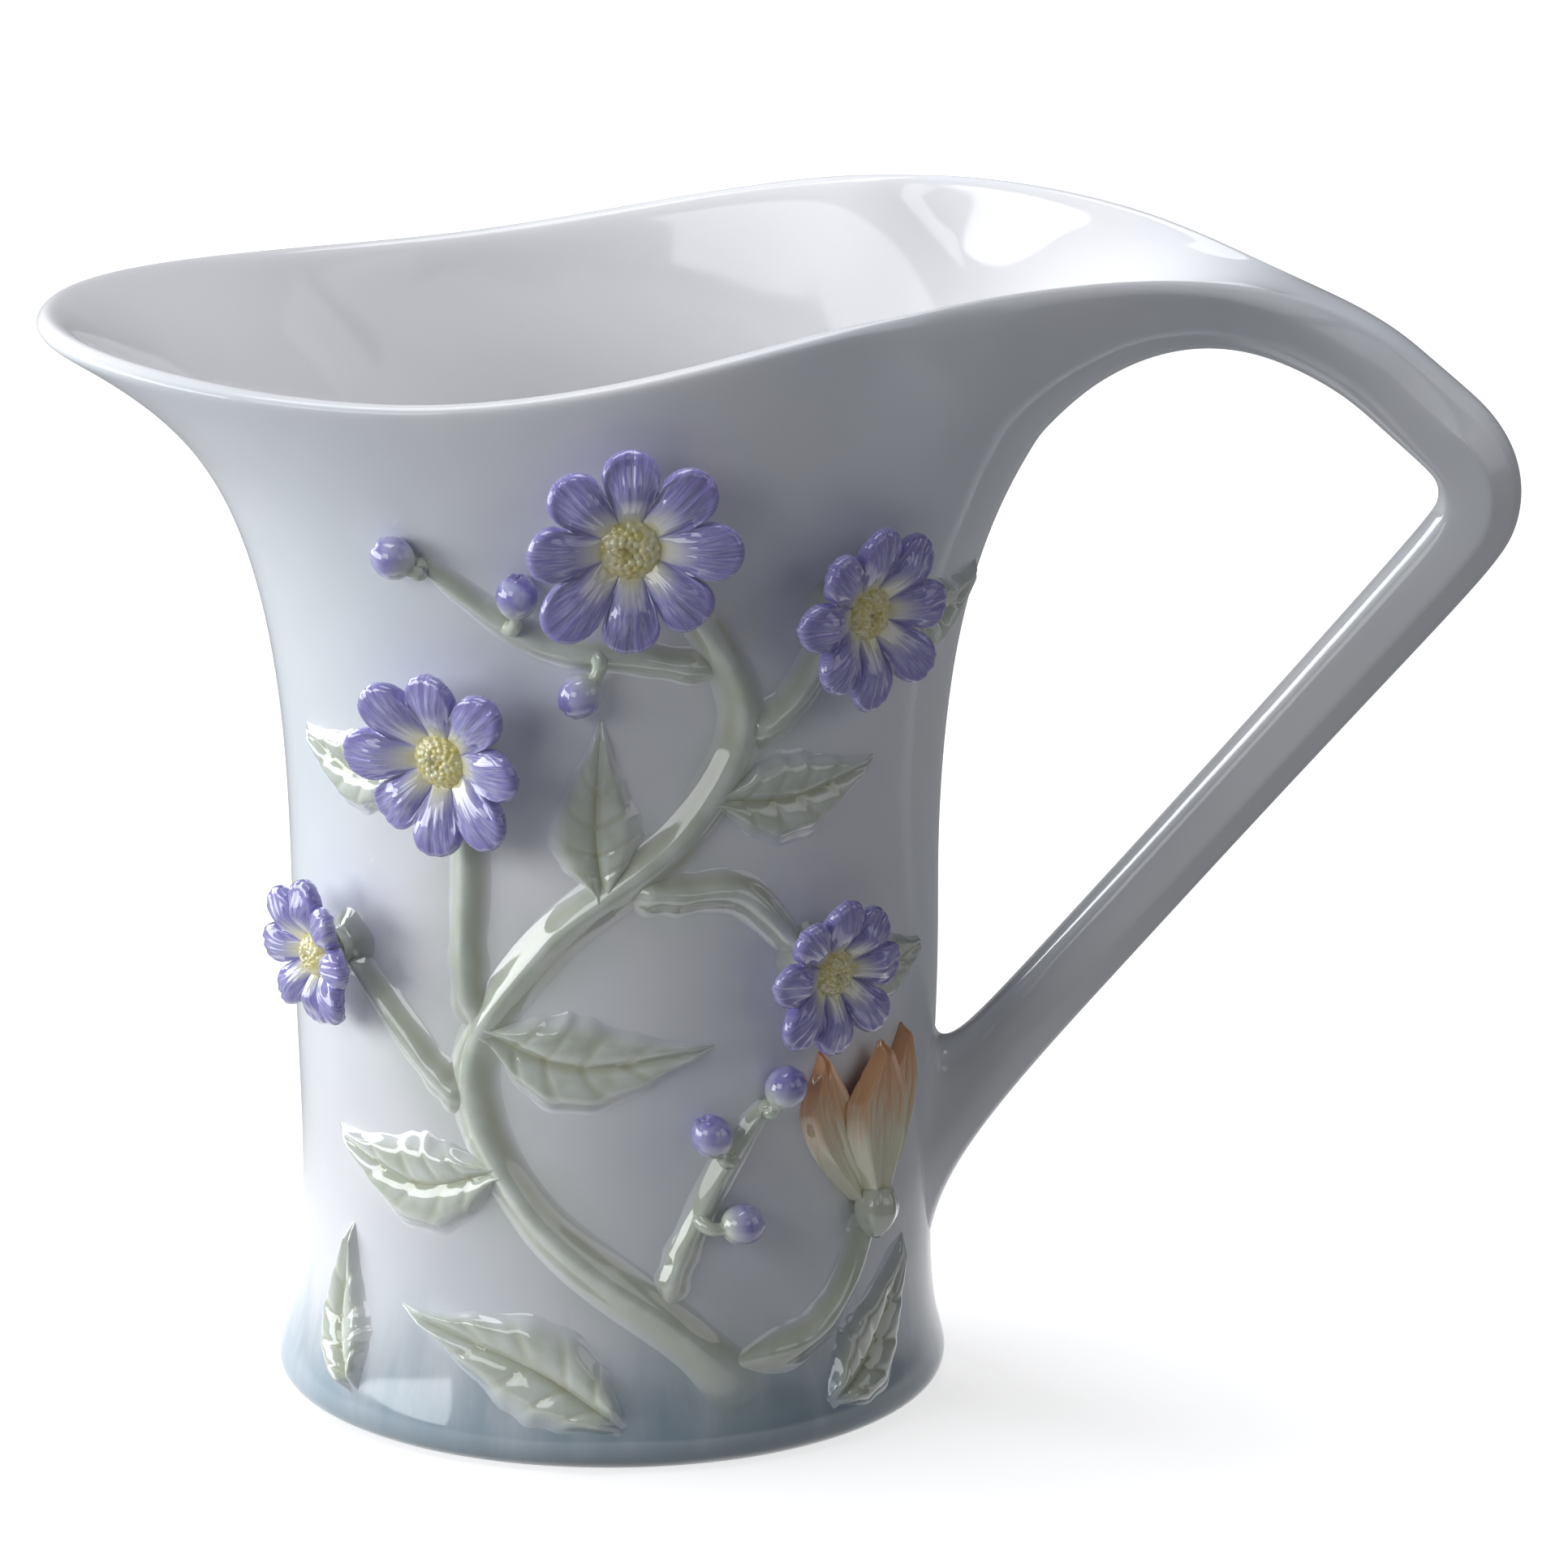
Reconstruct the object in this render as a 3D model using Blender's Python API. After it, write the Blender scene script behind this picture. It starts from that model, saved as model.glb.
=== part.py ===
"""
Porcelain creamer with flowers in relief.

The vessel and the rolled strap that leads out of its rim are one casting. The handle is a second casting,
luted to the strap's end and to the lower wall. Blossoms, buds, stems and leaves are pressed one by one and
laid on the front of the wall. Lengths are in metres and +Z is up. The origin is the middle of the foot, the
spout points to -X, the handle to +X, and the flowers face -Y.
"""
import math

import bmesh
import bpy
from mathutils import Vector
from mathutils.bvhtree import BVHTree

MM = 0.001

# Slip joint left between any two pieces
SEAM = 0.3 * MM

# Foot and lower wall
NECK_RADIUS = 33.0 * MM
NECK_HEIGHT = 15.0 * MM
FOOT_SPREAD = 2.5 * MM
FOOT_BULGE_HEIGHT = 3.0 * MM
FOOT_TOP = 7.0 * MM
FOOT_ROUNDING = 2.5 * MM
FOOT_RING_WIDTH = 4.5 * MM
FOOT_WELL_DEPTH = 0.8 * MM
WAIST_SWELL = 0.9 * MM
WAIST_HEIGHT = 45.0 * MM
WALL_OFFSET = 0.6 * MM
WALL = 2.7 * MM
FLOOR_THICKNESS = 4.2 * MM
FLOOR_COVE = 4.5 * MM
FOOT_RADIUS = NECK_RADIUS + FOOT_SPREAD
WAIST_RADIUS = NECK_RADIUS + WAIST_SWELL

# Rim: spout tip, widest place and the rise towards the handle
SPOUT_REACH = 60.6 * MM
SPOUT_HEIGHT = 114.2 * MM
RIM_WIDEST_AT = -2.0 * MM
RIM_SPREAD = 3.4 * MM
RIM_RISE = 9.6 * MM
RISE_START = -25.0 * MM
LIP = 2.2 * MM
RIM_HALF_WIDTH = WAIST_RADIUS + RIM_SPREAD

# Slope of the wall's curve at the spout and at the sides, and how far the curve holds to its two ends
SPOUT_FLARE = 2.3
SIDE_FLARE = 0.3
SPOUT_STIFFNESS = 0.74
HANDLE_STIFFNESS = 0.455
TOP_STIFFNESS = 0.30

# Strap: underside of its arch, each place out from the wall and down from the crest of the rim
WALL_X = WALL_OFFSET + WAIST_RADIUS
CREST = SPOUT_HEIGHT + RIM_RISE
ARCH_FOOT = (0.6 * MM, 66.9 * MM)
ARCH_RISE = (0.6 * MM, 27.0 * MM)
ARCH_CROWN = (16.7 * MM, -0.2 * MM)
ARCH_END = (41.4 * MM, 16.8 * MM)
RISE_END = WALL_X + 10.5 * MM
STRAP_FROM = WALL_X - 4.5 * MM
STRAP_CLOSES_AT = WALL_X + 43.5 * MM

# Handle: a rod with a rounded corner and a flared root on the wall
ROD_THICKNESS = 9.1 * MM
ROD_WIDTH = 9.8 * MM
LEG_THICKNESS = 7.6 * MM
LEG_WIDTH = 8.6 * MM
HANDLE_CORNER = (59.7 * MM, 27.0 * MM)
CORNER_RADIUS = 8.2 * MM
ROOT_HEIGHT = 27.0 * MM
ROOT_HALF_HEIGHT = 12.0 * MM
ROOT_HALF_WIDTH = 7.5 * MM
ROOT_REACH = 11.0 * MM
ROOT_LEAD = 1.5 * MM

# Section of the rod: where its flatter upper half begins, as shares of its width and thickness
SHOULDER_WIDTH = 0.72
SHOULDER_HEIGHT = 0.84

# Relief on the front
VINE_WIDTH = 3.2 * MM
VINE_HEIGHT = 1.5 * MM
TWIG_WIDTH = 2.7 * MM
SPRAY_WIDTH = 2.2 * MM
SPRAY_HEIGHT = 1.2 * MM
LEAF_WIDTH = 9.5 * MM
LEAF_HEIGHT = 1.5 * MM
BLOSSOM_RADIUS = 11.5 * MM
CALYX_RADIUS = 2.8 * MM
CALYX_HEIGHT = 2.4 * MM
PETALS = 8
PETAL_NOTCH = 0.36
PETAL_GROOVE = 0.5 * MM
PETAL_THICKNESS = 1.0 * MM
COROLLA_FLOOR = 1.4 * MM
COROLLA_DEPTH = 0.26
EYE_SHARE = 0.28
EYE_HEIGHT = 1.9 * MM
BERRY_RADIUS = 2.2 * MM
EMBER_PETAL_HEIGHT = 1.7 * MM
EMBER_PETAL_WIDTH = 7.0 * MM
EMBER_PETAL_LENGTH = 17.0 * MM
EMBER_CUP_LENGTH = 5.0 * MM
EMBER_CUP_RADIUS = 2.3 * MM

# The relief is laid out on the wall unrolled. Each place is degrees round from the middle of the front, and a
# share of the spout's height. Blossoms: place, share of the radius, lean of the face across and up, and the
# bearing of the twig
BLOSSOMS = (
    ((3.5, 0.885), 1.00, -0.05, 0.05, (0.5, -0.9)),
    ((44.0, 0.800), 0.87, 0.15, 0.00, (-0.5, -0.85)),
    ((-25.5, 0.680), 0.92, -0.15, -0.05, (0.1, -1.0)),
    ((37.0, 0.470), 0.78, 0.10, -0.15, (-0.7, 0.7)),
    ((-53.0, 0.465), 0.70, -0.10, -0.10, (0.8, -0.6)),
)

# Vine from the first blossom down to the foot
VINE = ((17.5, 0.795), (24.5, 0.700), (13.5, 0.600), (-10.0, 0.500), (-24.5, 0.370), (-13.5, 0.240),
        (13.5, 0.125), (28.5, 0.040))

# Branches of the vine: share along it, side of it, and the places that each runs through
TWIGS = (
    (0.27, -1, ((31.0, 0.700), (38.0, 0.735))),
    (0.60, 1, ((-25.5, 0.470), (-25.0, 0.560))),
    (0.44, -1, ((12.0, 0.545), (24.0, 0.540))),
    (0.66, 1, ((-31.0, 0.360), (-40.0, 0.405))),
)
SPRAYS = (
    ("spray_upper", 0.19, 1, ((8.0, 0.765), (-12.0, 0.785), (-31.0, 0.855))),
    ("spray_lower", 0.855, -1, ((13.0, 0.200), (20.0, 0.275), (28.5, 0.340))),
)
EMBER_TWIG = (0.92, -1, ((37.0, 0.108), (46.0, 0.147), (50.5, 0.190)))

# Leaves: share of the width, places of the midrib, and for those off the vine a share along it and a side of it
VINE_LEAVES = (
    (1.00, 0.71, 1, ((-37.0, 0.255), (-60.0, 0.285))),
    (1.00, 0.585, -1, ((-5.0, 0.385), (20.0, 0.400))),
    (0.90, 0.45, 1, ((-2.0, 0.610), (-1.0, 0.715))),
    (0.90, 0.335, -1, ((35.0, 0.625), (54.0, 0.645))),
)
OTHER_LEAVES = (
    (0.90, ((41.0, 0.040), (53.0, 0.085), (66.0, 0.175))),
    (1.00, ((3.0, 0.040), (-14.0, 0.095), (-42.0, 0.135))),
    (0.80, ((53.0, 0.770), (65.0, 0.765), (78.0, 0.800))),
    (0.80, ((-50.0, 0.040), (-56.0, 0.100), (-55.0, 0.200))),
    (0.80, ((-38.0, 0.640), (-50.0, 0.635), (-66.0, 0.660))),
    (0.70, ((-60.0, 0.440), (-67.0, 0.415), (-80.0, 0.400))),
    (0.75, ((46.0, 0.455), (56.0, 0.440), (70.0, 0.450))),
)

# Cage of the vessel: columns round it, and how many each side of +X run on into the strap
COLUMNS = 24
STRAP_SIDE_COLUMNS = 3
WALL_RINGS = 6
STRAP_ROWS = 5
CORNER_STEPS = 5
LEG_STEPS = 5
ROUNDING_LEVELS = 1


def smooth(start, end, value):
    """Ease from 0 at start to 1 at end."""
    share = min(1.0, max(0.0, (value - start) / (end - start)))
    return share * share * (3.0 - 2.0 * share)


def mix(low, high, share):
    return low + (high - low) * share


def bezier(points, share):
    rest = 1.0 - share
    return (points[0] * rest ** 3 + points[1] * (3 * rest * rest * share)
            + points[2] * (3 * rest * share * share) + points[3] * share ** 3)


def bezier_direction(points, share):
    rest = 1.0 - share
    slope = ((points[1] - points[0]) * (rest * rest) + (points[2] - points[1]) * (2 * rest * share)
             + (points[3] - points[2]) * (share * share))
    return slope.normalized()


def rim_height(x):
    return SPOUT_HEIGHT + RIM_RISE * smooth(RISE_START, RISE_END, x)


def rim_half_width(x):
    """Half the opening's width from its widest place to where the strap closes."""
    share = min(1.0, (x - RIM_WIDEST_AT) / (STRAP_CLOSES_AT - RIM_WIDEST_AT))
    return RIM_HALF_WIDTH * math.cos(0.5 * math.pi * share)


def from_crest(place):
    """Point in the middle plane, given out from the wall and down from the crest."""
    out, down = place
    return Vector((WALL_X + out, 0.0, CREST - down))


def arch():
    """Control points of the strap's underside; its first half lies in the wall."""
    return [from_crest(place) for place in (ARCH_FOOT, ARCH_RISE, ARCH_CROWN, ARCH_END)]


def wall_top(angle):
    """Top of the wall at an angle from +X: the rim, or the root of the strap near the handle."""
    turn = abs(angle)
    side = 1.0 if angle >= 0 else -1.0
    strap_turn = 2.0 * math.pi * STRAP_SIDE_COLUMNS / COLUMNS
    if turn >= 0.5 * math.pi:
        x = RIM_WIDEST_AT + (SPOUT_REACH + RIM_WIDEST_AT) * math.cos(turn)
        y = RIM_HALF_WIDTH * math.sin(turn)
        return Vector((x, side * y, rim_height(x)))
    if turn >= strap_turn - 1e-6:
        x = RIM_WIDEST_AT + (STRAP_FROM - RIM_WIDEST_AT) * math.cos(turn) / math.cos(strap_turn)
        return Vector((x, side * rim_half_width(x), rim_height(x)))
    bottom = bezier(arch(), 0.5)
    corner = Vector((STRAP_FROM, 0.0, rim_height(STRAP_FROM)))
    lean = 0.5 * math.pi * turn / strap_turn
    point = bottom.lerp(corner, 1.0 - math.cos(lean))
    return point + Vector((0.0, side * rim_half_width(STRAP_FROM) * math.sin(lean), 0.0))


def wall_line(angle):
    """Control points of the wall's upward curve at an angle, from the waist to the top."""
    out = Vector((math.cos(angle), math.sin(angle), 0.0))
    foot = out * WAIST_RADIUS + Vector((WALL_OFFSET, 0.0, WAIST_HEIGHT))
    top = wall_top(angle)
    drift = Vector((top.x - foot.x, top.y - foot.y, 0.0)).normalized()
    towards_handle = 0.5 + 0.5 * math.cos(angle)
    rise = mix(SPOUT_STIFFNESS, HANDLE_STIFFNESS, towards_handle) * (top.z - foot.z)
    settle = TOP_STIFFNESS * (top.z - foot.z)
    if math.cos(angle) < 0:
        flare = SIDE_FLARE + (SPOUT_FLARE - SIDE_FLARE) * abs(math.cos(angle)) ** 3
    else:
        start = bezier_direction(arch(), 0.5)
        flare = mix(SIDE_FLARE, start.x / start.z, math.cos(angle) ** 2)
    lean = (drift * flare + Vector((0.0, 0.0, 1.0))).normalized()
    return foot, foot + Vector((0.0, 0.0, rise)), top - lean * settle, top


def ring(radius, height, offset=0.0):
    """Ring of the cage, drawn out so that the rounded surface has this radius."""
    step = 2 * math.pi / COLUMNS
    reach = radius * 3.0 / (2.0 + math.cos(step))
    return [Vector((offset + reach * math.cos(j * step), reach * math.sin(j * step), height))
            for j in range(COLUMNS)]


def column_angle(column):
    angle = 2 * math.pi * column / COLUMNS
    return angle if angle <= math.pi else angle - 2 * math.pi


def wall_rings():
    """Outer wall from the waist to its top, ring by ring."""
    lines = [wall_line(column_angle(j)) for j in range(COLUMNS)]
    return [[bezier(line, k / WALL_RINGS) for line in lines] for k in range(1, WALL_RINGS + 1)]


def rod_half(half_width, rise):
    """Half round of a section, seven points from one side through its bottom to the other."""
    count = 2 * STRAP_SIDE_COLUMNS
    turns = [math.pi * (i / count - 0.5) for i in range(count + 1)]
    return [(half_width * math.sin(turn), rise * (1.0 - math.cos(turn))) for turn in turns]


def strap_row(share):
    """Underside and channel of the strap at a share of its run, each seven points across."""
    along = 0.5 + 0.5 * share
    bottom = bezier(arch(), along)
    run = bezier_direction(arch(), along)
    up = Vector((-run.z, 0.0, run.x))
    crest = (rim_height(RISE_END) - bottom.z) / up.z
    edge = mix(crest, ROD_THICKNESS, smooth(0.3, 0.8, share))
    width = rim_half_width(min(bottom.x + up.x * edge, STRAP_CLOSES_AT))
    half_width = (width ** 4 + (0.5 * ROD_WIDTH) ** 4) ** 0.25
    closed = smooth(0.4, 1.0, share)
    side = mix(edge, 0.5 * ROD_THICKNESS, closed)
    floor = mix(WALL, ROD_THICKNESS, smooth(0.15, 0.9, share))
    inner_half = mix(half_width - LIP, SHOULDER_WIDTH * half_width, closed)
    inner_side = mix(edge + 0.3 * LIP, SHOULDER_HEIGHT * ROD_THICKNESS, closed)
    under = [bottom + up * h + Vector((0.0, y, 0.0)) for y, h in rod_half(half_width, side)]
    channel = [bottom + up * (floor + h) + Vector((0.0, y, 0.0))
               for y, h in rod_half(inner_half, inner_side - floor)]
    return under, channel


def rounded(name, bm, material):
    """Object with a subdivision surface on its cage, shaded smooth."""
    bmesh.ops.recalc_face_normals(bm, faces=bm.faces)
    mesh = bpy.data.meshes.new(name)
    bm.to_mesh(mesh)
    bm.free()
    mesh.materials.append(material)
    mesh.shade_smooth()
    piece = bpy.data.objects.new(name, mesh)
    bpy.context.collection.objects.link(piece)
    rounding = piece.modifiers.new("Round the cage", "SUBSURF")
    rounding.levels = ROUNDING_LEVELS
    rounding.render_levels = ROUNDING_LEVELS
    return piece


def crease_loop(bm, loop):
    """Keep the closed line of edges through these vertices sharp."""
    layer = bm.edges.layers.float.get("crease_edge") or bm.edges.layers.float.new("crease_edge")
    for first, second in zip(loop, loop[1:] + loop[:1]):
        bm.edges.get((first, second))[layer] = 1.0


def make_jug_body(material):
    """Vessel with foot, wall, spout and rolled strap, as one closed cage."""
    bm = bmesh.new()
    middle = mix(NECK_HEIGHT, WAIST_HEIGHT, 0.45)
    ring_outer = FOOT_RADIUS - FOOT_ROUNDING
    ring_inner = ring_outer - FOOT_RING_WIDTH
    outer = [ring(ring_inner - FOOT_WELL_DEPTH, FOOT_WELL_DEPTH), ring(ring_inner, 0.0), ring(ring_outer, 0.0),
             ring(FOOT_RADIUS - 0.32 * FOOT_ROUNDING, 0.3 * FOOT_BULGE_HEIGHT),
             ring(FOOT_RADIUS, FOOT_BULGE_HEIGHT), ring(NECK_RADIUS + 0.38 * FOOT_SPREAD, FOOT_TOP),
             ring(NECK_RADIUS, NECK_HEIGHT, WALL_OFFSET), ring(NECK_RADIUS, middle, WALL_OFFSET),
             ring(WAIST_RADIUS, WAIST_HEIGHT, WALL_OFFSET)]
    outer += wall_rings()
    floor = FOOT_WELL_DEPTH + FLOOR_THICKNESS
    bore = NECK_RADIUS - WALL
    inner = [ring(0.75 * bore, floor), ring(bore - WALL, floor + 0.13 * FLOOR_COVE),
             ring(bore, floor + FLOOR_COVE), ring(bore, NECK_HEIGHT, WALL_OFFSET),
             ring(bore, middle, WALL_OFFSET), ring(WAIST_RADIUS - WALL, WAIST_HEIGHT, WALL_OFFSET)]
    inner += inner_rings(outer[-WALL_RINGS - 1:])
    rows = [strap_row(k / STRAP_ROWS) for k in range(1, STRAP_ROWS + 1)]

    outer_verts = [[bm.verts.new(p) for p in level] for level in outer]
    inner_verts = [[bm.verts.new(p) for p in level] for level in inner]
    strap_columns = list(range(-STRAP_SIDE_COLUMNS, STRAP_SIDE_COLUMNS + 1))
    under = [[outer_verts[-1][j] for j in strap_columns]]
    channel = [[inner_verts[-1][j] for j in strap_columns]]
    for under_points, channel_points in rows:
        under.append([bm.verts.new(p) for p in under_points])
        channel.append([bm.verts.new(p) for p in channel_points])

    for levels, outward in ((outer_verts, True), (inner_verts, False)):
        for low, high in zip(levels, levels[1:]):
            for j in range(COLUMNS):
                face = (low[j], low[(j + 1) % COLUMNS], high[(j + 1) % COLUMNS], high[j])
                bm.faces.new(face if outward else face[::-1])
    bm.faces.new(outer_verts[0][::-1])
    bm.faces.new(inner_verts[0])
    for levels, outward in ((under, True), (channel, False)):
        for low, high in zip(levels, levels[1:]):
            for left, right, far_right, far_left in zip(low, low[1:], high[1:], high):
                face = (left, right, far_right, far_left)
                bm.faces.new(face if outward else face[::-1])
    for j in range(STRAP_SIDE_COLUMNS, COLUMNS - STRAP_SIDE_COLUMNS):
        bm.faces.new((outer_verts[-1][j], outer_verts[-1][j + 1], inner_verts[-1][j + 1], inner_verts[-1][j]))
    for side in (0, -1):
        for k in range(STRAP_ROWS):
            face = (under[k][side], under[k + 1][side], channel[k + 1][side], channel[k][side])
            bm.faces.new(face[::-1] if side == 0 else face)
    end_under, end_channel = under[-1], channel[-1]
    for i in range(2 * STRAP_SIDE_COLUMNS):
        bm.faces.new((end_under[i], end_under[i + 1], end_channel[i + 1], end_channel[i]))
    for level in outer_verts[:3]:
        crease_loop(bm, level)
    crease_loop(bm, end_under + end_channel[::-1])
    return rounded("jug_body", bm, material)


def inner_rings(outer):
    """Inner face of the upper wall, one wall thickness in from the outer rings."""
    result = []
    for k in range(1, len(outer)):
        level = []
        for j in range(COLUMNS):
            around = outer[k][(j + 1) % COLUMNS] - outer[k][j - 1]
            above = outer[min(k + 1, len(outer) - 1)][j]
            upward = above - outer[k - 1][j]
            inward = upward.cross(around).normalized()
            depth = LIP if k == len(outer) - 1 else WALL
            level.append(outer[k][j] + inward * depth)
        result.append(level)
    return result


def rod_section(width, thickness):
    """Fourteen points of the rod's section about its middle: the under half, then the upper half."""
    half = 0.5 * width
    under = [(y, h - 0.5 * thickness) for y, h in rod_half(half, 0.5 * thickness)]
    upper = [(y, 0.5 * thickness + h)
             for y, h in rod_half(SHOULDER_WIDTH * half, (SHOULDER_HEIGHT - 1.0) * thickness)]
    return under, upper


def wall_tree(piece):
    """Search tree of a piece's finished surface."""
    graph = bpy.context.evaluated_depsgraph_get()
    return BVHTree.FromObject(piece, graph)


def handle_stations():
    """Middle line of the handle from the strap to its root, as places and headings, and the leg's heading."""
    corner = from_crest(HANDLE_CORNER)
    run = bezier_direction(arch(), 1.0)
    up = Vector((-run.z, 0.0, run.x))
    start = from_crest(ARCH_END) + up * (0.5 * ROD_THICKNESS) + run * SEAM
    root = Vector((WALL_X, 0.0, ROOT_HEIGHT + ROOT_LEAD))
    first = (corner - start).normalized()
    second = (root - corner).normalized()
    turn = first.angle(second)
    reach = CORNER_RADIUS * math.tan(0.5 * turn)
    arc_in = corner - first * reach
    arc_out = corner + second * reach
    centre = arc_in + Vector((first.z, 0.0, -first.x)) * CORNER_RADIUS
    stations = [(start, run), (start.lerp(arc_in, 0.4), first), (start.lerp(arc_in, 0.8), first)]
    for k in range(CORNER_STEPS):
        swing = turn * (0.05 + 0.9 * k / (CORNER_STEPS - 1))
        spoke = arc_in - centre
        swung = Vector((spoke.x * math.cos(swing) + spoke.z * math.sin(swing), 0.0,
                        spoke.z * math.cos(swing) - spoke.x * math.sin(swing)))
        heading = Vector((swung.z, 0.0, -swung.x)).normalized()
        stations.append((centre + swung, heading))
    leg_end = root - second * ROOT_REACH
    for k in range(1, LEG_STEPS + 1):
        stations.append((arc_out.lerp(leg_end, k / LEG_STEPS), second))
    return stations, second


def make_handle(material, wall):
    """Handle: the rod from the strap round the corner, down the straight leg to its flared root."""
    stations, leg_run = handle_stations()
    bm = bmesh.new()
    rings = []
    for k, (middle, run) in enumerate(stations):
        up = Vector((-run.z, 0.0, run.x))
        slim = smooth(CORNER_STEPS, CORNER_STEPS + LEG_STEPS, k)
        under, upper = rod_section(mix(ROD_WIDTH, LEG_WIDTH, slim), mix(ROD_THICKNESS, LEG_THICKNESS, slim))
        rings.append([middle + up * h + Vector((0.0, y, 0.0)) for y, h in under + upper[::-1]])
    root_rings = [[], [], []]
    for point, (y, h) in zip(rings[-1], under + upper[::-1]):
        footprint = on_wall(wall, point, leg_run)
        spread_y = y / (0.5 * LEG_WIDTH) * ROOT_HALF_WIDTH
        spread_z = ROOT_HEIGHT - h / (0.5 * LEG_THICKNESS) * ROOT_HALF_HEIGHT
        landing = on_wall(wall, Vector((2.0 * WALL_X, spread_y, spread_z)), Vector((-1.0, 0.0, 0.0)))
        for level, share in zip(root_rings, (0.4, 0.75, 1.0)):
            rest = 1.0 - share
            level.append(point * rest * rest + footprint * (2 * rest * share) + landing * share * share)
    rings += root_rings
    verts = [[bm.verts.new(p) for p in level] for level in rings]
    count = len(verts[0])
    for low, high in zip(verts, verts[1:]):
        for i in range(count):
            bm.faces.new((low[i], low[(i + 1) % count], high[(i + 1) % count], high[i]))
    half = count // 2
    for level, outward in ((verts[0], False), (verts[-1], True)):
        for i in range(half - 1):
            face = (level[i], level[i + 1], level[count - 2 - i], level[count - 1 - i])
            bm.faces.new(face if outward else face[::-1])
        crease_loop(bm, level)
    return rounded("handle", bm, material)


def on_wall(wall, origin, direction):
    """Point just clear of the wall where a line from outside meets it."""
    place, normal, _, _ = wall.ray_cast(origin, direction)
    return place + normal * SEAM


def wall_point(wall, across, height):
    """Place and outward direction on the wall at an unrolled position."""
    angle = across / WAIST_RADIUS
    outward = Vector((math.sin(angle), -math.cos(angle), 0.0))
    origin = outward * (3.0 * WAIST_RADIUS) + Vector((0.0, 0.0, height))
    place, normal, _, _ = wall.ray_cast(origin, -outward)
    return place, normal


def route_at(route, share):
    """Point and direction at a share of the smooth curve through a route."""
    points = [Vector(p) for p in route]
    ends = [2 * points[0] - points[1]] + points + [2 * points[-1] - points[-2]]
    spans = len(points) - 1
    i = min(int(share * spans), spans - 1)
    t = share * spans - i
    a, b, c, d = ends[i:i + 4]
    bend = 2 * a - 5 * b + 4 * c - d
    twist = 3 * b - a - 3 * c + d
    point = b + 0.5 * ((c - a) * t + bend * t ** 2 + twist * t ** 3)
    slope = (c - a) + bend * (2 * t) + twist * (3 * t ** 2)
    return point, slope.normalized()


def panel(place):
    """Point on the unrolled wall, across from the middle of the front and up from the ground."""
    turn, share = place
    return Vector((math.radians(turn) * WAIST_RADIUS, share * SPOUT_HEIGHT))


def loft(name, sections, material, tips=(None, None)):
    """Closed piece through closed sections, each end either a point or a flat face."""
    bm = bmesh.new()
    loops = [[bm.verts.new(p) for p in section] for section in sections]
    count = len(loops[0])
    for low, high in zip(loops, loops[1:]):
        for i in range(count):
            bm.faces.new((low[i], low[(i + 1) % count], high[(i + 1) % count], high[i]))
    for loop, tip in ((loops[0], tips[0]), (loops[-1], tips[1])):
        if tip is None:
            bm.faces.new(loop)
            continue
        point = bm.verts.new(tip)
        for i in range(count):
            bm.faces.new((loop[i], loop[(i + 1) % count], point))
    bmesh.ops.recalc_face_normals(bm, faces=bm.faces)
    mesh = bpy.data.meshes.new(name)
    bm.to_mesh(mesh)
    bm.free()
    mesh.materials.append(material)
    mesh.shade_smooth()
    mesh.set_sharp_from_angle(angle=math.radians(50))
    piece = bpy.data.objects.new(name, mesh)
    bpy.context.collection.objects.link(piece)
    return piece


def strip_sections(wall, route, count, width, height, back, front, lift=0.0):
    """Sections of a strip that lies on the wall: back and front list shares across and of the height."""
    sections = []
    for k in range(count + 1):
        share = k / count
        point, slope = route_at(route, share)
        across = Vector((slope.y, -slope.x))
        section = []
        for side, rise in back + front:
            spot = point + across * (0.5 * width(share) * side)
            place, normal = wall_point(wall, spot.x, spot.y)
            section.append(place + normal * (SEAM + lift + rise * height(share)))
        sections.append(section)
    return sections


STEM_BACK = ((-1.0, 0.0), (0.0, 0.0), (1.0, 0.0))
STEM_FRONT = ((0.62, 0.78), (0.0, 1.0), (-0.62, 0.78))
LEAF_BACK = ((-1.0, 0.0), (-0.5, 0.0), (0.0, 0.0), (0.5, 0.0), (1.0, 0.0))
LEAF_FRONT = ((0.62, 0.7), (0.18, 1.0), (0.0, 0.75), (-0.18, 1.0), (-0.62, 0.7))


def make_stem(name, wall, route, material, width, height, count):
    """Half-round stem on the wall, a little thicker towards its far end."""
    sections = strip_sections(wall, route, count, lambda t: width * mix(0.85, 1.1, t), lambda t: height,
                              STEM_BACK, STEM_FRONT)
    return loft(name, sections, material)


def make_leaf(name, wall, route, width, material, height=LEAF_HEIGHT, lift=0.0, fullest=0.45, count=9):
    """Lance-shaped leaf with a sunk midrib, pointed at its tip."""
    def spread(t):
        opening = 0.25 + 0.75 * math.sin(0.5 * math.pi * min(1.0, t / fullest))
        return width * opening * (1.0 - smooth(fullest, 1.08, t))

    def swell(t):
        return height * mix(1.0, 0.45, t)

    sections = strip_sections(wall, route, count, spread, swell, LEAF_BACK, LEAF_FRONT, lift)
    end, slope = route_at(route, 1.0)
    tip_spot = end + slope * (0.06 * width)
    place, normal = wall_point(wall, tip_spot.x, tip_spot.y)
    return loft(name, sections, material, (None, place + normal * (SEAM + lift + 0.2 * height)))


def blossom_frame(wall, spot, lean_across, lean_up):
    """Seat of a blossom on the wall: its place, its axis, and two directions across it."""
    place, normal = wall_point(wall, spot.x, spot.y)
    sideways = Vector((0.0, 0.0, 1.0)).cross(normal).normalized()
    axis = (normal + sideways * lean_across + Vector((0.0, 0.0, lean_up))).normalized()
    upward = (Vector((0.0, 0.0, 1.0)) - axis * axis.z).normalized()
    return place, axis, upward, upward.cross(axis)


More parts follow.
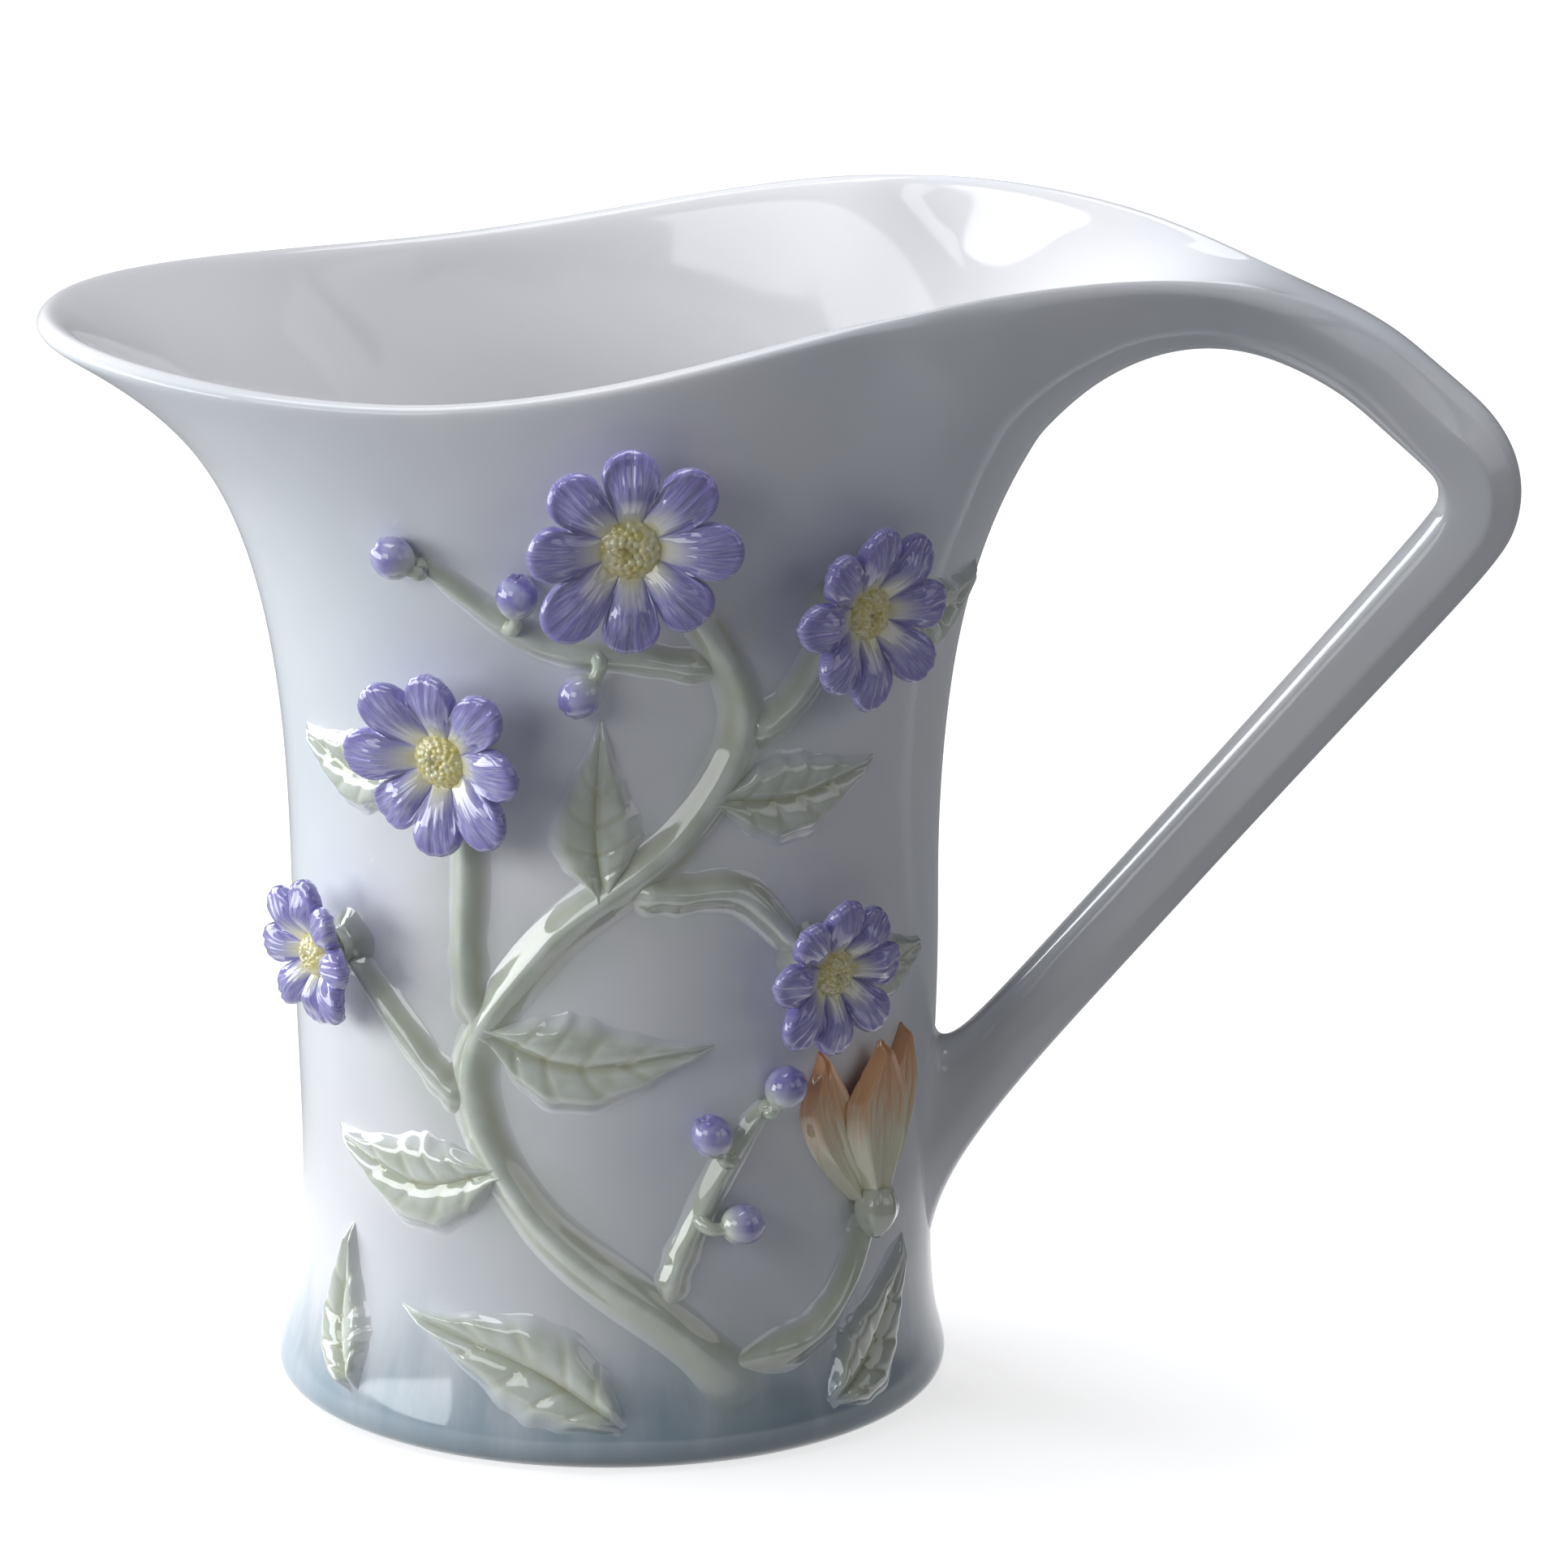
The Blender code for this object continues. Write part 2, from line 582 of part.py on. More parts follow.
def turned(name, seat, profile, columns, material, outline=None):
    """Piece turned about a seat's axis from (radius, rise) points, its ends closed on the axis."""
    place, axis, upward, sideways = seat
    sections = []
    for radius, rise in profile[1:-1]:
        level = []
        for j in range(columns):
            turn = 2 * math.pi * j / columns
            reach, lift = outline(radius, rise, turn) if outline else (radius, rise)
            level.append(place + axis * lift + (upward * math.cos(turn) + sideways * math.sin(turn)) * reach)
        sections.append(level)
    tips = (place + axis * profile[0][1], place + axis * profile[-1][1])
    return loft(name, sections, material, tips)


def notch_share(turn):
    """0 along the middle of a petal and 1 in the notch between two."""
    place = (turn * PETALS / (2 * math.pi)) % 1.0
    return 2.0 * min(place, 1.0 - place)


def make_blossom(number, wall, blossom, petal, green, yellow):
    """Open blossom: a shallow corolla of rounded petals on a calyx, with a domed eye in its middle."""
    place, size, lean_across, lean_up, _ = blossom
    radius = size * BLOSSOM_RADIUS
    seat = blossom_frame(wall, panel(place), lean_across, lean_up)
    base = CALYX_HEIGHT + SEAM
    floor = base + COROLLA_FLOOR
    depth = COROLLA_DEPTH * radius
    face = floor + depth
    eye = EYE_SHARE * radius
    tube = 0.8 * CALYX_RADIUS
    profile = [(0.0, floor), (eye, floor), (0.5 * radius, floor + 0.55 * depth),
               (0.8 * radius, floor + 0.95 * depth), (radius, face), (0.97 * radius, face - PETAL_THICKNESS),
               (0.7 * radius, floor + 0.7 * depth - PETAL_THICKNESS), (tube, base + 0.2 * depth), (tube, base),
               (0.0, base)]

    def outline(reach, rise, turn):
        out = reach / radius
        notch = notch_share(turn)
        upper = smooth(floor - PETAL_THICKNESS, floor, rise)
        return (reach * (1.0 - PETAL_NOTCH * notch ** 3 * out ** 3),
                rise - PETAL_GROOVE * upper * notch ** 2 * smooth(EYE_SHARE, 0.6, out))

    turned("blossom_%d" % number, seat, profile, 4 * PETALS, petal, outline)
    seat_eye = (seat[0] + seat[1] * (floor + SEAM), *seat[1:])
    dome = [(0.0, 0.0), (0.9 * eye, 0.0), (0.95 * eye, 0.35 * EYE_HEIGHT), (0.7 * eye, 0.8 * EYE_HEIGHT),
            (0.3 * eye, EYE_HEIGHT), (0.0, 1.05 * EYE_HEIGHT)]
    turned("eye_%d" % number, seat_eye, dome, 12, yellow)
    make_calyx("calyx_%d" % number, wall, seat, green)


def make_calyx(name, wall, seat, green):
    """Green cup between the wall and the blossom, its foot cut to the wall."""
    place, axis, upward, sideways = seat
    columns = 10
    levels = []
    for share, radius in ((0.0, CALYX_RADIUS), (0.45, 0.72 * CALYX_RADIUS), (1.0, CALYX_RADIUS)):
        level = []
        for j in range(columns):
            turn = 2 * math.pi * j / columns
            spoke = (upward * math.cos(turn) + sideways * math.sin(turn)) * radius
            top = place + axis * CALYX_HEIGHT + spoke
            foot, normal, _, _ = wall.ray_cast(top, -axis)
            level.append((foot + normal * SEAM).lerp(top, share))
        levels.append(level)
    return loft(name, levels, green)


def lying_seat(wall, spot, heading, length, radius):
    """Seat of a round piece lying on the wall, from its base at a spot towards a heading."""
    turn = heading.normalized()
    tip = spot + turn * length
    belly = spot + turn * (0.5 * length)
    place, _ = wall_point(wall, spot.x, spot.y)
    ahead, _ = wall_point(wall, tip.x, tip.y)
    middle, normal = wall_point(wall, belly.x, belly.y)
    axis = (ahead - place).normalized()
    rise = radius + SEAM + (middle - place.lerp(ahead, 0.5)).dot(normal)
    upward = (normal - axis * normal.dot(axis)).normalized()
    return place + normal * rise, axis, upward, upward.cross(axis)


def make_berry(name, wall, spot, heading, material):
    """Round berry with a small blunt tip, lying on the wall."""
    length = 2.2 * BERRY_RADIUS
    profile = [(0.0, 0.0), (0.55 * BERRY_RADIUS, 0.07 * length), (0.92 * BERRY_RADIUS, 0.28 * length),
               (BERRY_RADIUS, 0.5 * length), (0.86 * BERRY_RADIUS, 0.72 * length),
               (0.45 * BERRY_RADIUS, 0.9 * length), (0.0, length)]
    return turned(name, lying_seat(wall, spot, heading, length, BERRY_RADIUS), profile, 9, material)


def branch(vine, joint, width):
    """Route of a branch, from where it clears the side of the vine through its own places."""
    share, side, places = joint
    route = [panel(place) for place in places]
    point, slope = route_at(vine, share)
    along = abs((route[0] - point).normalized().dot(slope))
    gap = 0.55 * (VINE_WIDTH + width * along) + SEAM
    return [point + Vector((slope.y, -slope.x)) * (side * gap)] + route


def make_flowers(wall, petal, green, yellow):
    """Blossoms, the winding vine and the twigs that carry them; returns the vine's route."""
    starts = []
    for number, blossom in enumerate(BLOSSOMS, 1):
        make_blossom(number, wall, blossom, petal, green, yellow)
        bearing = Vector(blossom[-1]).normalized()
        starts.append(panel(blossom[0]) + bearing * (1.2 * CALYX_RADIUS + SEAM))
    vine = [starts[0]] + [panel(place) for place in VINE]
    make_stem("vine", wall, vine, green, VINE_WIDTH, VINE_HEIGHT, 28)
    for number, (joint, start) in enumerate(zip(TWIGS, starts[1:]), 1):
        route = branch(vine, joint, TWIG_WIDTH) + [start]
        make_stem("twig_%d" % number, wall, route[::-1], green, TWIG_WIDTH, VINE_HEIGHT, 9)
    return vine


def make_leaves(wall, vine, green):
    """Oval leaves off the vine, at the foot and behind the blossoms."""
    routes = [(size, branch(vine, joint, 0.25 * size * LEAF_WIDTH)) for size, *joint in VINE_LEAVES]
    routes += [(size, [panel(place) for place in places]) for size, places in OTHER_LEAVES]
    for number, (size, route) in enumerate(routes, 1):
        make_leaf("leaf_%d" % number, wall, route, size * LEAF_WIDTH, green)


def make_sprays(wall, vine, blue, green):
    """Two sprays of berries off the vine, each berry seated beside its spray or at its end."""
    number = 0
    for name, *joint in SPRAYS:
        route = branch(vine, joint, SPRAY_WIDTH)
        make_stem(name, wall, route, green, SPRAY_WIDTH, SPRAY_HEIGHT, 9)
        side = joint[1]
        for share, turn in ((0.5, -side), (0.75, side), (1.0, 0)):
            number += 1
            point, slope = route_at(route, share)
            across = Vector((slope.y, -slope.x)) * turn
            spot = point + across * (0.55 * SPRAY_WIDTH + 2.0 * SEAM) + slope * SEAM
            make_berry("berry_%d" % number, wall, spot, across + slope * 0.6, blue)


def make_ember(wall, vine, orange, green):
    """Half-open orange bud on its own twig: a green cup, two side petals and one over them."""
    stem = branch(vine, EMBER_TWIG, TWIG_WIDTH)
    make_stem("ember_stem", wall, stem[::-1], green, TWIG_WIDTH, VINE_HEIGHT, 9)
    cup_base = stem[-1] + Vector((0.0, 2.0 * SEAM))
    lean_out = Vector((0.1, 1.0))
    seat = lying_seat(wall, cup_base, lean_out, EMBER_CUP_LENGTH, EMBER_CUP_RADIUS)
    profile = [(0.0, 0.0), (0.45 * EMBER_CUP_RADIUS, 0.02 * EMBER_CUP_LENGTH),
               (0.85 * EMBER_CUP_RADIUS, 0.25 * EMBER_CUP_LENGTH), (EMBER_CUP_RADIUS, 0.55 * EMBER_CUP_LENGTH),
               (0.7 * EMBER_CUP_RADIUS, 0.85 * EMBER_CUP_LENGTH), (0.0, EMBER_CUP_LENGTH)]
    turned("ember_cup", seat, profile, 9, green)
    base = cup_base + lean_out * EMBER_CUP_LENGTH + Vector((0.0, SEAM))
    lifts = (0.0, 0.0, EMBER_PETAL_HEIGHT + SEAM)
    widths = (0.85 * EMBER_PETAL_WIDTH, 0.85 * EMBER_PETAL_WIDTH, 1.1 * EMBER_PETAL_WIDTH)
    for number, (lean, lift, width) in enumerate(zip((-1.0, 1.0, 0.05), lifts, widths), 1):
        start = base + Vector((0.28 * EMBER_PETAL_WIDTH * lean, 0.0))
        tip = base + Vector((0.95 * EMBER_PETAL_WIDTH * lean, EMBER_PETAL_LENGTH))
        bend = start.lerp(tip, 0.5) + Vector((0.18 * EMBER_PETAL_WIDTH * lean, 0.0))
        make_leaf("ember_petal_%d" % number, wall, (start, bend, tip), width, orange, EMBER_PETAL_HEIGHT, lift,
                  0.62)


def porcelain(name, colour, roughness=0.12):
    material = bpy.data.materials.new(name)
    material.use_nodes = True
    shader = material.node_tree.nodes["Principled BSDF"]
    shader.inputs["Base Color"].default_value = (*colour, 1.0)
    shader.inputs["Roughness"].default_value = roughness
    shader.inputs["Metallic"].default_value = 0.0
    return material


def main():
    for item in list(bpy.data.objects):
        bpy.data.objects.remove(item)
    white = porcelain("white_glaze", (0.82, 0.84, 0.88))
    body = make_jug_body(white)
    bpy.context.view_layer.update()
    wall = wall_tree(body)
    make_handle(white, wall)
    green = porcelain("leaf_glaze", (0.50, 0.55, 0.42))
    lilac = porcelain("lilac_glaze", (0.36, 0.34, 0.66))
    yellow = porcelain("eye_glaze", (0.80, 0.72, 0.34))
    orange = porcelain("ember_glaze", (0.80, 0.42, 0.22))
    vine = make_flowers(wall, lilac, green, yellow)
    make_leaves(wall, vine, green)
    make_sprays(wall, vine, lilac, green)
    make_ember(wall, vine, orange, green)


main()
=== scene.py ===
"""Finished look of a porcelain creamer: glazed castings, painted relief, studio light and camera."""

import math

import bmesh
import bpy
import numpy as np
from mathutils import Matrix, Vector
from mathutils.bvhtree import BVHTree
from mathutils.geometry import barycentric_transform


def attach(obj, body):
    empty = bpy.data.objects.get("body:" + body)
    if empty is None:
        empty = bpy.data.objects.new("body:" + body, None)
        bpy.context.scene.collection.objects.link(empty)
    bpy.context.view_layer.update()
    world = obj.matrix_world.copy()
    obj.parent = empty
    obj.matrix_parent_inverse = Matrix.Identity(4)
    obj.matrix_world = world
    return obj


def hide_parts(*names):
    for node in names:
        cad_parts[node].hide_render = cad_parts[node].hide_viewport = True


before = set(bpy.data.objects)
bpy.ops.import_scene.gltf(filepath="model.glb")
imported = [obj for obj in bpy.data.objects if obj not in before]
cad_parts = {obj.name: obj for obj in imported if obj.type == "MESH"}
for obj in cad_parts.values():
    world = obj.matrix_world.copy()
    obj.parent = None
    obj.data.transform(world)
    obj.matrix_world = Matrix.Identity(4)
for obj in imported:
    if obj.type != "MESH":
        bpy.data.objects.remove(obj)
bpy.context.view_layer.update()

# Vessel: white porcelain, slip cast in one piece with its foot, its flared spout and the strap that the rim
# rolls into towards the handle. It is drawn as a cage of rings, which subdivision rounds.
MM = 0.001
NECK_RADIUS = 33.0 * MM
NECK_HEIGHT = 15.0 * MM
FOOT_SPREAD = 2.5 * MM
FOOT_BULGE_HEIGHT = 3.0 * MM
FOOT_TOP = 7.0 * MM
FOOT_ROUNDING = 2.5 * MM
FOOT_RING_WIDTH = 4.5 * MM
FOOT_WELL_DEPTH = 0.8 * MM
WAIST_SWELL = 0.9 * MM
WAIST_HEIGHT = 45.0 * MM
WALL_OFFSET = 0.6 * MM
WALL = 2.7 * MM
FLOOR_THICKNESS = 4.2 * MM
FLOOR_COVE = 4.5 * MM
FOOT_RADIUS = NECK_RADIUS + FOOT_SPREAD
WAIST_RADIUS = NECK_RADIUS + WAIST_SWELL
WALL_X = WALL_OFFSET + WAIST_RADIUS
SPOUT_REACH = 60.6 * MM
SPOUT_HEIGHT = 114.2 * MM
SPOUT_FLARE = 2.3
SIDE_FLARE = 0.3
SPOUT_STIFFNESS = 0.74
HANDLE_STIFFNESS = 0.455
TOP_STIFFNESS = 0.30
RIM_WIDEST_AT = -2.0 * MM
RIM_HALF_WIDTH = WAIST_RADIUS + 3.4 * MM
RIM_RISE = 9.6 * MM
RISE_START = -25.0 * MM
RISE_END = WALL_X + 10.5 * MM
LIP = 2.2 * MM
CREST = SPOUT_HEIGHT + RIM_RISE
STRAP_FROM = WALL_X - 4.5 * MM
STRAP_CLOSES_AT = WALL_X + 43.5 * MM
ROD_THICKNESS = 9.1 * MM
ROD_WIDTH = 9.8 * MM
SHOULDER_WIDTH = 0.72
SHOULDER_HEIGHT = 0.84
COLUMNS = 24
STRAP_SIDE = 3
WALL_RINGS = 6
LIP_BELOW = 0.965
STRAP_ROWS = 5
STRAP_ROOT = 0.5
EDGE_FALLS = (0.3, 0.8)
CHANNEL_CLOSES = (0.4, 1.0)
FLOOR_FILLS = (0.15, 0.9)
ROUNDING = 3
UP = Vector((0.0, 0.0, 1.0))


def smooth(start, end, value):
    """Ease from 0 at start to 1 at end, for a number or an array."""
    share = np.clip((value - start) / (end - start), 0.0, 1.0)
    return share * share * (3.0 - 2.0 * share)


def mix(low, high, share):
    return low + (high - low) * share


def bezier(points, share):
    rest = 1.0 - share
    return (points[0] * rest ** 3 + points[1] * (3 * rest * rest * share)
            + points[2] * (3 * rest * share * share) + points[3] * share ** 3)


def bezier_heading(points, share):
    rest = 1.0 - share
    slope = ((points[1] - points[0]) * (rest * rest) + (points[2] - points[1]) * (2 * rest * share)
             + (points[3] - points[2]) * (share * share))
    return slope.normalized()


def around(count):
    """A full turn in equal steps."""
    return 2 * np.pi * np.arange(count) / count


def from_crest(out, down):
    """Point in the middle plane, given out from the wall and down from the crest of the rim."""
    return Vector((WALL_X + out, 0.0, CREST - down))


ARCH = (from_crest(0.6 * MM, 66.9 * MM), from_crest(0.6 * MM, 27.0 * MM), from_crest(16.7 * MM, -0.2 * MM),
        from_crest(41.4 * MM, 16.8 * MM))


def rim_height(x):
    return SPOUT_HEIGHT + RIM_RISE * float(smooth(RISE_START, RISE_END, x))


def rim_half_width(x):
    share = min(1.0, (x - RIM_WIDEST_AT) / (STRAP_CLOSES_AT - RIM_WIDEST_AT))
    return RIM_HALF_WIDTH * math.cos(0.5 * math.pi * share)


def wall_top(angle):
    """Top of the wall at an angle from +X: the rim, or the root of the strap near the handle."""
    turn = abs(angle)
    side = math.copysign(1.0, angle)
    strap_turn = 2.0 * math.pi * STRAP_SIDE / COLUMNS
    if turn >= 0.5 * math.pi:
        x = RIM_WIDEST_AT + (SPOUT_REACH + RIM_WIDEST_AT) * math.cos(turn)
        return Vector((x, side * RIM_HALF_WIDTH * math.sin(turn), rim_height(x)))
    if turn >= strap_turn - 1e-6:
        x = RIM_WIDEST_AT + (STRAP_FROM - RIM_WIDEST_AT) * math.cos(turn) / math.cos(strap_turn)
        return Vector((x, side * rim_half_width(x), rim_height(x)))
    corner = Vector((STRAP_FROM, 0.0, rim_height(STRAP_FROM)))
    lean = 0.5 * math.pi * turn / strap_turn
    point = bezier(ARCH, STRAP_ROOT).lerp(corner, 1.0 - math.cos(lean))
    return point + Vector((0.0, side * rim_half_width(STRAP_FROM) * math.sin(lean), 0.0))


def wall_line(angle):
    """Control points of the wall's upward curve at an angle, from the waist to the top."""
    out = Vector((math.cos(angle), math.sin(angle), 0.0))
    foot = out * WAIST_RADIUS + Vector((WALL_OFFSET, 0.0, WAIST_HEIGHT))
    top = wall_top(angle)
    drift = Vector((top.x - foot.x, top.y - foot.y, 0.0)).normalized()
    rise = mix(SPOUT_STIFFNESS, HANDLE_STIFFNESS, 0.5 + 0.5 * out.x) * (top.z - foot.z)
    settle = TOP_STIFFNESS * (top.z - foot.z)
    if out.x < 0:
        flare = SIDE_FLARE + (SPOUT_FLARE - SIDE_FLARE) * abs(out.x) ** 3
    else:
        start = bezier_heading(ARCH, STRAP_ROOT)
        flare = mix(SIDE_FLARE, start.x / start.z, out.x ** 2)
    lean = (drift * flare + UP).normalized()
    return foot, foot + Vector((0.0, 0.0, rise)), top - lean * settle, top


def ring(radius, height, offset=0.0):
    """Ring of the cage, drawn out so that the rounded surface has this radius."""
    step = 2 * math.pi / COLUMNS
    reach = radius * 3.0 / (2.0 + math.cos(step))
    return [Vector((offset + reach * math.cos(j * step), reach * math.sin(j * step), height))
            for j in range(COLUMNS)]


def inner_rings(outer):
    """Inner face of the upper wall, one wall thickness in from the outer rings."""
    result = []
    for k in range(1, len(outer)):
        level = []
        for j in range(COLUMNS):
            around = outer[k][(j + 1) % COLUMNS] - outer[k][j - 1]
            upward = outer[min(k + 1, len(outer) - 1)][j] - outer[k - 1][j]
            depth = LIP if k == len(outer) - 1 else WALL
            level.append(outer[k][j] + upward.cross(around).normalized() * depth)
        result.append(level)
    return result


def half_round(half_width, rise):
    """Half of a rod's section, from one side through its bottom to the other."""
    turns = [math.pi * (i / (2 * STRAP_SIDE) - 0.5) for i in range(2 * STRAP_SIDE + 1)]
    return [(half_width * math.sin(turn), rise * (1.0 - math.cos(turn))) for turn in turns]


def strap_row(share):
    """Underside and channel of the strap at a share of its run: an open trough that closes to a rod."""
    along = mix(STRAP_ROOT, 1.0, share)
    bottom = bezier(ARCH, along)
    run = bezier_heading(ARCH, along)
    up = Vector((-run.z, 0.0, run.x))
    crest = (rim_height(RISE_END) - bottom.z) / up.z
    edge = mix(crest, ROD_THICKNESS, smooth(*EDGE_FALLS, share))
    width = rim_half_width(min(bottom.x + up.x * edge, STRAP_CLOSES_AT))
    half_width = (width ** 4 + (0.5 * ROD_WIDTH) ** 4) ** 0.25
    closed = smooth(*CHANNEL_CLOSES, share)
    side = mix(edge, 0.5 * ROD_THICKNESS, closed)
    floor = mix(WALL, ROD_THICKNESS, smooth(*FLOOR_FILLS, share))
    inner_half = mix(half_width - LIP, SHOULDER_WIDTH * half_width, closed)
    inner_side = mix(edge + 0.3 * LIP, SHOULDER_HEIGHT * ROD_THICKNESS, closed)
    under = [bottom + up * h + Vector((0.0, y, 0.0)) for y, h in half_round(half_width, side)]
    channel = [bottom + up * (floor + h) + Vector((0.0, y, 0.0))
               for y, h in half_round(inner_half, inner_side - floor)]
    return under, channel


cage = bmesh.new()
outside = cage.verts.layers.float.new("outside")
crease = cage.edges.layers.float.new("crease_edge")


def cage_row(points, shown):
    """Row of cage corners, marked as outside or inside."""
    row = [cage.verts.new(point) for point in points]
    for corner in row:
        corner[outside] = shown
    return row


def cage_skin(rows, closed, casting=0):
    """Faces between rows, from each to the next."""
    for low, high in zip(rows, rows[1:]):
        for j in range(len(low) if closed else len(low) - 1):
            nxt = (j + 1) % len(low)
            cage.faces.new((low[j], low[nxt], high[nxt], high[j])).material_index = casting


def crease_row(row):
    for first, second in zip(row, row[1:] + row[:1]):
        cage.edges.get((first, second))[crease] = 1.0


ring_outer = FOOT_RADIUS - FOOT_ROUNDING
ring_inner = ring_outer - FOOT_RING_WIDTH
heel = (FOOT_RADIUS - 0.32 * FOOT_ROUNDING, 0.3 * FOOT_BULGE_HEIGHT)
ankle = (NECK_RADIUS + 0.38 * FOOT_SPREAD, FOOT_TOP)
middle_height = mix(NECK_HEIGHT, WAIST_HEIGHT, 0.45)
bore = NECK_RADIUS - WALL
inside_floor = FOOT_WELL_DEPTH + FLOOR_THICKNESS
cove = (bore - WALL, inside_floor + 0.13 * FLOOR_COVE)
outer_points = [ring(*level) for level in (
    (ring_inner - FOOT_WELL_DEPTH, FOOT_WELL_DEPTH), (ring_inner, 0.0), (ring_outer, 0.0), heel,
    (FOOT_RADIUS, FOOT_BULGE_HEIGHT), ankle, (NECK_RADIUS, NECK_HEIGHT, WALL_OFFSET),
    (NECK_RADIUS, middle_height, WALL_OFFSET), (WAIST_RADIUS, WAIST_HEIGHT, WALL_OFFSET))]
column_angles = [math.remainder(turn, 2 * math.pi) for turn in around(COLUMNS)]
wall_lines = [wall_line(angle) for angle in column_angles]
for share in [k / WALL_RINGS for k in range(1, WALL_RINGS)] + [LIP_BELOW, 1.0]:
    outer_points.append([bezier(line, share) for line in wall_lines])
inner_points = [ring(*level) for level in (
    (0.75 * bore, inside_floor), cove, (bore, inside_floor + FLOOR_COVE), (bore, NECK_HEIGHT, WALL_OFFSET),
    (bore, middle_height, WALL_OFFSET), (WAIST_RADIUS - WALL, WAIST_HEIGHT, WALL_OFFSET))]
inner_points += inner_rings(outer_points[-WALL_RINGS - 2:])
outer_rows = [cage_row(points, 1.0) for points in outer_points]
inner_rows = [cage_row(points, 0.0) for points in inner_points]
cage_skin(outer_rows, True)
cage_skin(inner_rows, True)
cage.faces.new(outer_rows[0])
cage.faces.new(inner_rows[0])
for row in outer_rows[:3]:
    crease_row(row)
strap_columns = range(-STRAP_SIDE, STRAP_SIDE + 1)
under_rows = [[outer_rows[-1][j] for j in strap_columns]]
channel_rows = [[inner_rows[-1][j] for j in strap_columns]]
for k in range(1, STRAP_ROWS + 1):
    under_points, channel_points = strap_row(k / STRAP_ROWS)
    under_rows.append(cage_row(under_points, 1.0))
    channel_rows.append(cage_row(channel_points, smooth(*CHANNEL_CLOSES, k / STRAP_ROWS)))
cage_skin(under_rows, False)
cage_skin(channel_rows, False)
for j in range(STRAP_SIDE, COLUMNS - STRAP_SIDE):
    cage.faces.new((outer_rows[-1][j], outer_rows[-1][j + 1], inner_rows[-1][j + 1], inner_rows[-1][j]))
for side in (0, -1):
    cage_skin([[row[side] for row in rows] for rows in (under_rows, channel_rows)], False)


def placed(name, data):
    """New object in the scene."""
    thing = bpy.data.objects.new(name, data)
    bpy.context.scene.collection.objects.link(thing)
    return thing


def rounded(levels):
    """Mesh of the subdivision surface on the cage as it stands."""
    bmesh.ops.recalc_face_normals(cage, faces=cage.faces)
    rough = bpy.data.meshes.new("cage")
    cage.to_mesh(rough)
    holder = placed("cage", rough)
    rounding = holder.modifiers.new("Round the cage", "SUBSURF")
    rounding.levels = levels
    rounding.render_levels = levels
    graph = bpy.context.evaluated_depsgraph_get()
    result = bpy.data.meshes.new_from_object(holder.evaluated_get(graph))
    bpy.data.objects.remove(holder)
    return result


wall_mesh = rounded(ROUNDING)
wall_mesh.calc_loop_triangles()
wall_places = [vertex.co.copy() for vertex in wall_mesh.vertices]
wall_normals = [vector.vector.copy() for vector in wall_mesh.vertex_normals]
wall_triangles = [tuple(triangle.vertices) for triangle in wall_mesh.loop_triangles]
wall_tree = BVHTree.FromPolygons(wall_places, wall_triangles)


def on_wall(origin, heading):
    """Place and smooth outward direction where a line from outside meets the wall."""
    place, _, index, _ = wall_tree.ray_cast(origin, heading)
    a, b, c = wall_triangles[index]
    normal = barycentric_transform(place, wall_places[a], wall_places[b], wall_places[c],
                                   wall_normals[a], wall_normals[b], wall_normals[c])
    return place, normal.normalized()


class Shade:
    """One output of a shader node. Arithmetic on it adds Math nodes to its tree."""

    def __init__(self, tree, out=None):
        self.tree = tree
        self.out = out

    def add(self, kind, sockets=None, output=0, **settings):
        """Add a node: its settings first, then the values or links of its sockets."""
        node = self.tree.nodes.new("ShaderNode" + kind)
        for name, value in settings.items():
            setattr(node, name, value)
        for name, value in (sockets or {}).items():
            socket = node.inputs[name]
            if isinstance(value, Shade):
                self.tree.links.new(value.out, socket)
            elif socket.type == "RGBA":
                socket.default_value = (*value, 1.0)
            else:
                socket.default_value = value
        return Shade(self.tree, node.outputs[output] if node.outputs else None)

    def math(self, operation, first, second=0.0):
        return self.add("Math", {0: first, 1: second}, operation=operation)

    def __add__(self, other):
        return self.math("ADD", self, other)

    __radd__ = __add__

    def __sub__(self, other):
        return self.math("SUBTRACT", self, other)

    def __rsub__(self, other):
        return self.math("SUBTRACT", other, self)

    def __mul__(self, other):
        return self.math("MULTIPLY", self, other)

    __rmul__ = __mul__

    def size(self):
        """This number without its sign."""
        return self.math("ABSOLUTE", self)

    def ease(self, start, end):
        """0 where this is at start, 1 where it is at end, eased between."""
        sockets = {"Value": self, "From Min": start, "From Max": end}
        return self.add("MapRange", sockets, interpolation_type="SMOOTHSTEP")

    def blend(self, low, high):
        """Colour that is low where this is 0 and high where it is 1."""
        return self.add("Mix", {0: self, 6: low, 7: high}, output=2, data_type="RGBA")

    def painted(self, colour, mask):
        """This colour, covered by another where the mask is 1."""
        return mask.blend(self, colour)

    def mark(self, name):
        """A number painted on the mesh."""
        return self.add("Attribute", output=2, attribute_name=name)

    def place(self):
        """Position on the piece, in metres."""
        return self.add("TexCoord", output=3)

    def cloud(self, scale, detail=3.0, roughness=0.5, place=None):
        """Soft noise from about 0.3 to 0.7, by the position on the piece or by another place."""
        sockets = {"Vector": place or self.place(), "Scale": scale, "Detail": detail, "Roughness": roughness}
        return self.add("TexNoise", sockets)

    def height(self):
        return self.add("SeparateXYZ", {0: self.place()}, output=2)


